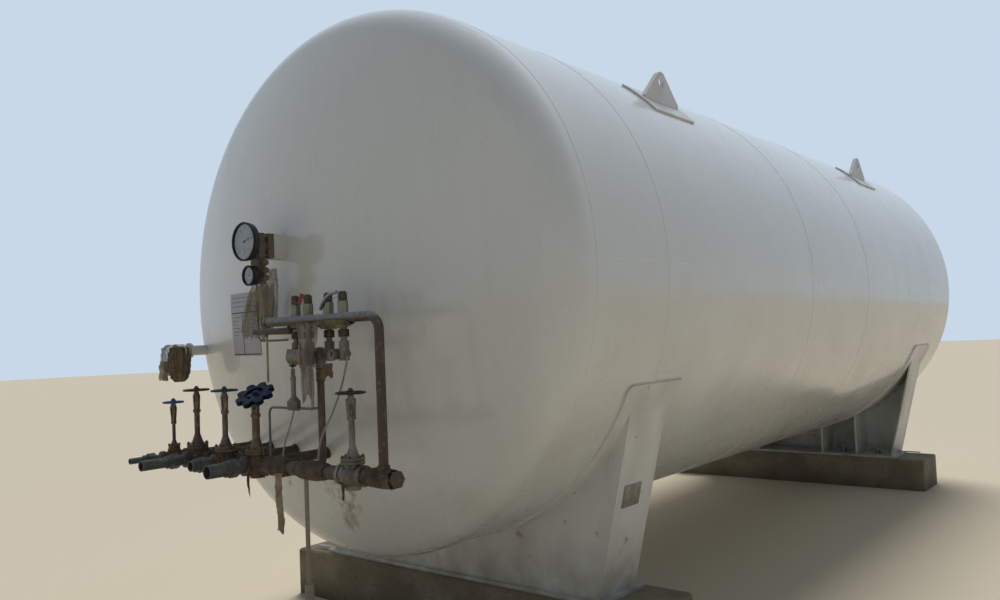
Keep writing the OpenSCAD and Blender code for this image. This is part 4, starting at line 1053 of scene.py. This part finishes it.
for part, top in enumerate([(-0.515, 1.3, -0.385), (-0.53, 1.275, -0.41), (-0.5, 1.32, -0.41)]):
    addScrap(f"nozzleStrip{part + 1}", top, 0.05, 0.085, 25 * part - 60, whiteRag, 0.2)
valveRag = [(-0.052, 0.038), (-0.042, 0.052), (-0.02, 0.062), (0.02, 0.062), (0.045, 0.054)]
for valveName, valveY in rowPlaces.items():
    size = {"level": 0.6, "bypass": 0.8}.get(valveName, 1.0)
    addWrap(valveName + "ValveRag", (rowX, valveY, lineZ), "Z",
            [(along * size, wide * size) for along, wide in valveRag], mudRag,
            rowValves[valveName].rsplit("_", 1)[0] + "_valve")
lineRags = {
    "branchRag": (-0.2, [(0.1, 0.0335), (0.08, 0.04), (0.03, 0.043), (-0.05, 0.042), (-0.08, 0.038),
                         (-0.1, 0.0335)]),
    "teeRag": (-0.457, [(0.1, 0.0335), (0.06, 0.0405), (0.0, 0.0435), (-0.06, 0.0405), (-0.1, 0.0335)]),
    "endRag": (-0.87, [(0.07, 0.034), (0.0, 0.042), (-0.08, 0.0405), (-0.1, 0.039)]),
}
for ragName, (ragY, ragProfile) in lineRags.items():
    addWrap(ragName, (rowX, ragY, lineZ), "Y", ragProfile, lineRag, "lower_line")
addScrap("branchScrap", (-0.84, -0.262, -0.885), 0.036, 0.26, -60, tanRag, 0.2)
addScrap("outletString", (-0.86, -0.06, -0.905), 0.015, 0.09, -60, looseRag)
addScrap("lineString", (-0.84, -0.7, -0.9), 0.015, 0.05, -60, looseRag)
addScrap("fillScrap", (-0.86, 0.33, -0.82), 0.09, 0.1, -50, looseRag)
print("film and rags made")

# Operating chart on the head: a laminated sheet with ruled lines, curved to the head
chart = {
    "left": 0.722,
    "right": 0.395,
    "top": -0.022,
    "foot": -0.366,
    "lift": 0.0022,
    "thick": 0.0006,
    "step": 0.02,      # between the points of the sheet, so that it follows the head
    "ink": 0.006,
    "heads": 0.107,    # heavy rule across, below the top
    "column": 0.14,    # heavy upright rule, from the left edge
    "margin": 0.008,
}


def headFace(radius):
    rings = headRings()
    for (near, wide), (far, narrow) in zip(rings, rings[1:]):
        if wide >= radius >= narrow:
            return near + (far - near) * (wide - radius) / max(wide - narrow, 1e-6)
    return headDepth


def sheetOnHead(left, right, top, foot, lift):
    clearSelection()
    bpy.ops.mesh.primitive_grid_add(x_subdivisions=max(2, round(abs(left - right) / chart["step"])),
                                    y_subdivisions=max(2, round(abs(top - foot) / chart["step"])), size=1)
    piece = bpy.context.object
    piece.matrix_world = (Matrix.Translation(inTank(0, (left + right) / 2, (top + foot) / 2)) @ facing
                          @ Matrix.Diagonal((left - right, top - foot, 1, 1)))
    applyPlace(piece)
    for vertex in piece.data.vertices:
        vertex.co.x = frontSeam - headFace(math.hypot(vertex.co.y, vertex.co.z - axisZ)) - lift
    addModifier(piece, "SOLIDIFY", thickness=chart["thick"], offset=0)
    return piece


def ruledLine(left, right, z, weight):
    half = chart["ink"] * weight / 2
    return sheetOnHead(left, right, z + half, z - half, chart["lift"] + 0.0005)


def addChart():
    left, right, top, foot = chart["left"], chart["right"], chart["top"], chart["foot"]
    settle(sheetOnHead(left, right, top, foot, chart["lift"]), "operatingChart", "paper")
    heads, column, low = top - chart["heads"], left - chart["column"], foot + chart["margin"]
    half = chart["ink"] / 2
    lines = [ruledLine(left - 0.005, right + 0.005, z, 1) for z in (heads, low)]
    lines.append(sheetOnHead(column + half, column - half, heads, low, chart["lift"] + 0.0005))
    for i in range(3):
        lines.append(ruledLine(left - 0.02, right + 0.05 + 0.04 * (i % 2), top - 0.024 - 0.024 * i, 0.4))
    for i in range(6):
        z = heads - 0.024 - 0.02 * i
        lines.append(ruledLine(left - 0.02, column + 0.02 + 0.02 * (i % 3), z, 0.4))
        lines.append(ruledLine(column - 0.015, right + 0.03 + 0.02 * (i % 2), z, 0.3))
    settle(joined(lines), "chartLines", "printInk")


addChart()
print("chart made")

# Studio: plain pale floor, pale sky that only the camera and mirrored rays see, soft light from above
studio = {
    "floorRadius": 60,
    "floorColour": "#dccfb6",
    "skyColour": "#c9d8e8",
    "fillColour": "#c2d4ee",
    "fillStrength": 0.22,
    "keyStrength": 2.5,
    "keyTilt": (-12.5, 26.0),  # degrees towards the far side and towards the rear
    "keyAngle": 30,            # spread of the key light, in degrees
}
# Camera in the place of the photograph's: angles in degrees, lens and sensor in millimetres
view = {"place": (-6.225, -3.46, 1.692), "heading": 39.381, "pitch": 2.36, "roll": -2.341, "lens": 30.41,
        "sensor": 36.0}


def addFloor():
    clearSelection()
    bpy.ops.mesh.primitive_circle_add(vertices=96, radius=studio["floorRadius"], fill_type="NGON")
    floor = bpy.context.object
    floor.name = "studioFloor"
    colour = hexColour(studio["floorColour"])
    floor.data.materials.append(newMaterial("matt pale floor", Roughness=0.85, Base_Color=colour)[0])


def addLight():
    world = bpy.data.worlds.new("studio")
    bpy.context.scene.world = world
    world.use_nodes = True
    tree = world.node_tree
    ground = tree.nodes["Background"]
    ground.inputs["Color"].default_value = hexColour(studio["fillColour"])
    ground.inputs["Strength"].default_value = studio["fillStrength"]
    seen = addNode(tree, "Background", {"Color": hexColour(studio["skyColour"]), "Strength": 1.0})
    diffuse = addNode(tree, "LightPath", out="Is Diffuse Ray")
    mix = addNode(diffuse, "MixShader", {1: seen, 2: ground.outputs[0]})
    tree.links.new(mix, tree.nodes["World Output"].inputs["Surface"])
    clearSelection()
    bpy.ops.object.light_add(type="SUN", location=(0, 0, 12))
    key = bpy.context.object
    key.name = "keyLight"
    key.data.energy = studio["keyStrength"]
    key.data.angle = math.radians(studio["keyAngle"])
    key.visible_glossy = False  # its mirrored disc would clip on the glossy jacket
    key.rotation_euler = [math.radians(tilt) for tilt in (*studio["keyTilt"], 0)]


def addCamera():
    heading, pitch, roll = (math.radians(view[key]) for key in ("heading", "pitch", "roll"))
    forward = Vector((math.cos(heading) * math.cos(pitch), math.sin(heading) * math.cos(pitch),
                      math.sin(pitch)))
    right = forward.cross(Vector((0, 0, 1))).normalized()
    up = right.cross(forward)
    turnedRight = right * math.cos(roll) + up * math.sin(roll)
    turnedUp = up * math.cos(roll) - right * math.sin(roll)
    clearSelection()
    bpy.ops.object.camera_add()
    camera = bpy.context.object
    camera.name = "photoCamera"
    camera.data.lens = view["lens"]
    camera.data.sensor_width = view["sensor"]
    camera.matrix_world = (Matrix.Translation(view["place"])
                           @ Matrix((turnedRight, turnedUp, -forward)).transposed().to_4x4())
    bpy.context.scene.camera = camera


addFloor()
addLight()
addCamera()
bpy.context.scene.view_settings.view_transform = "Standard"
print("studio and camera set")
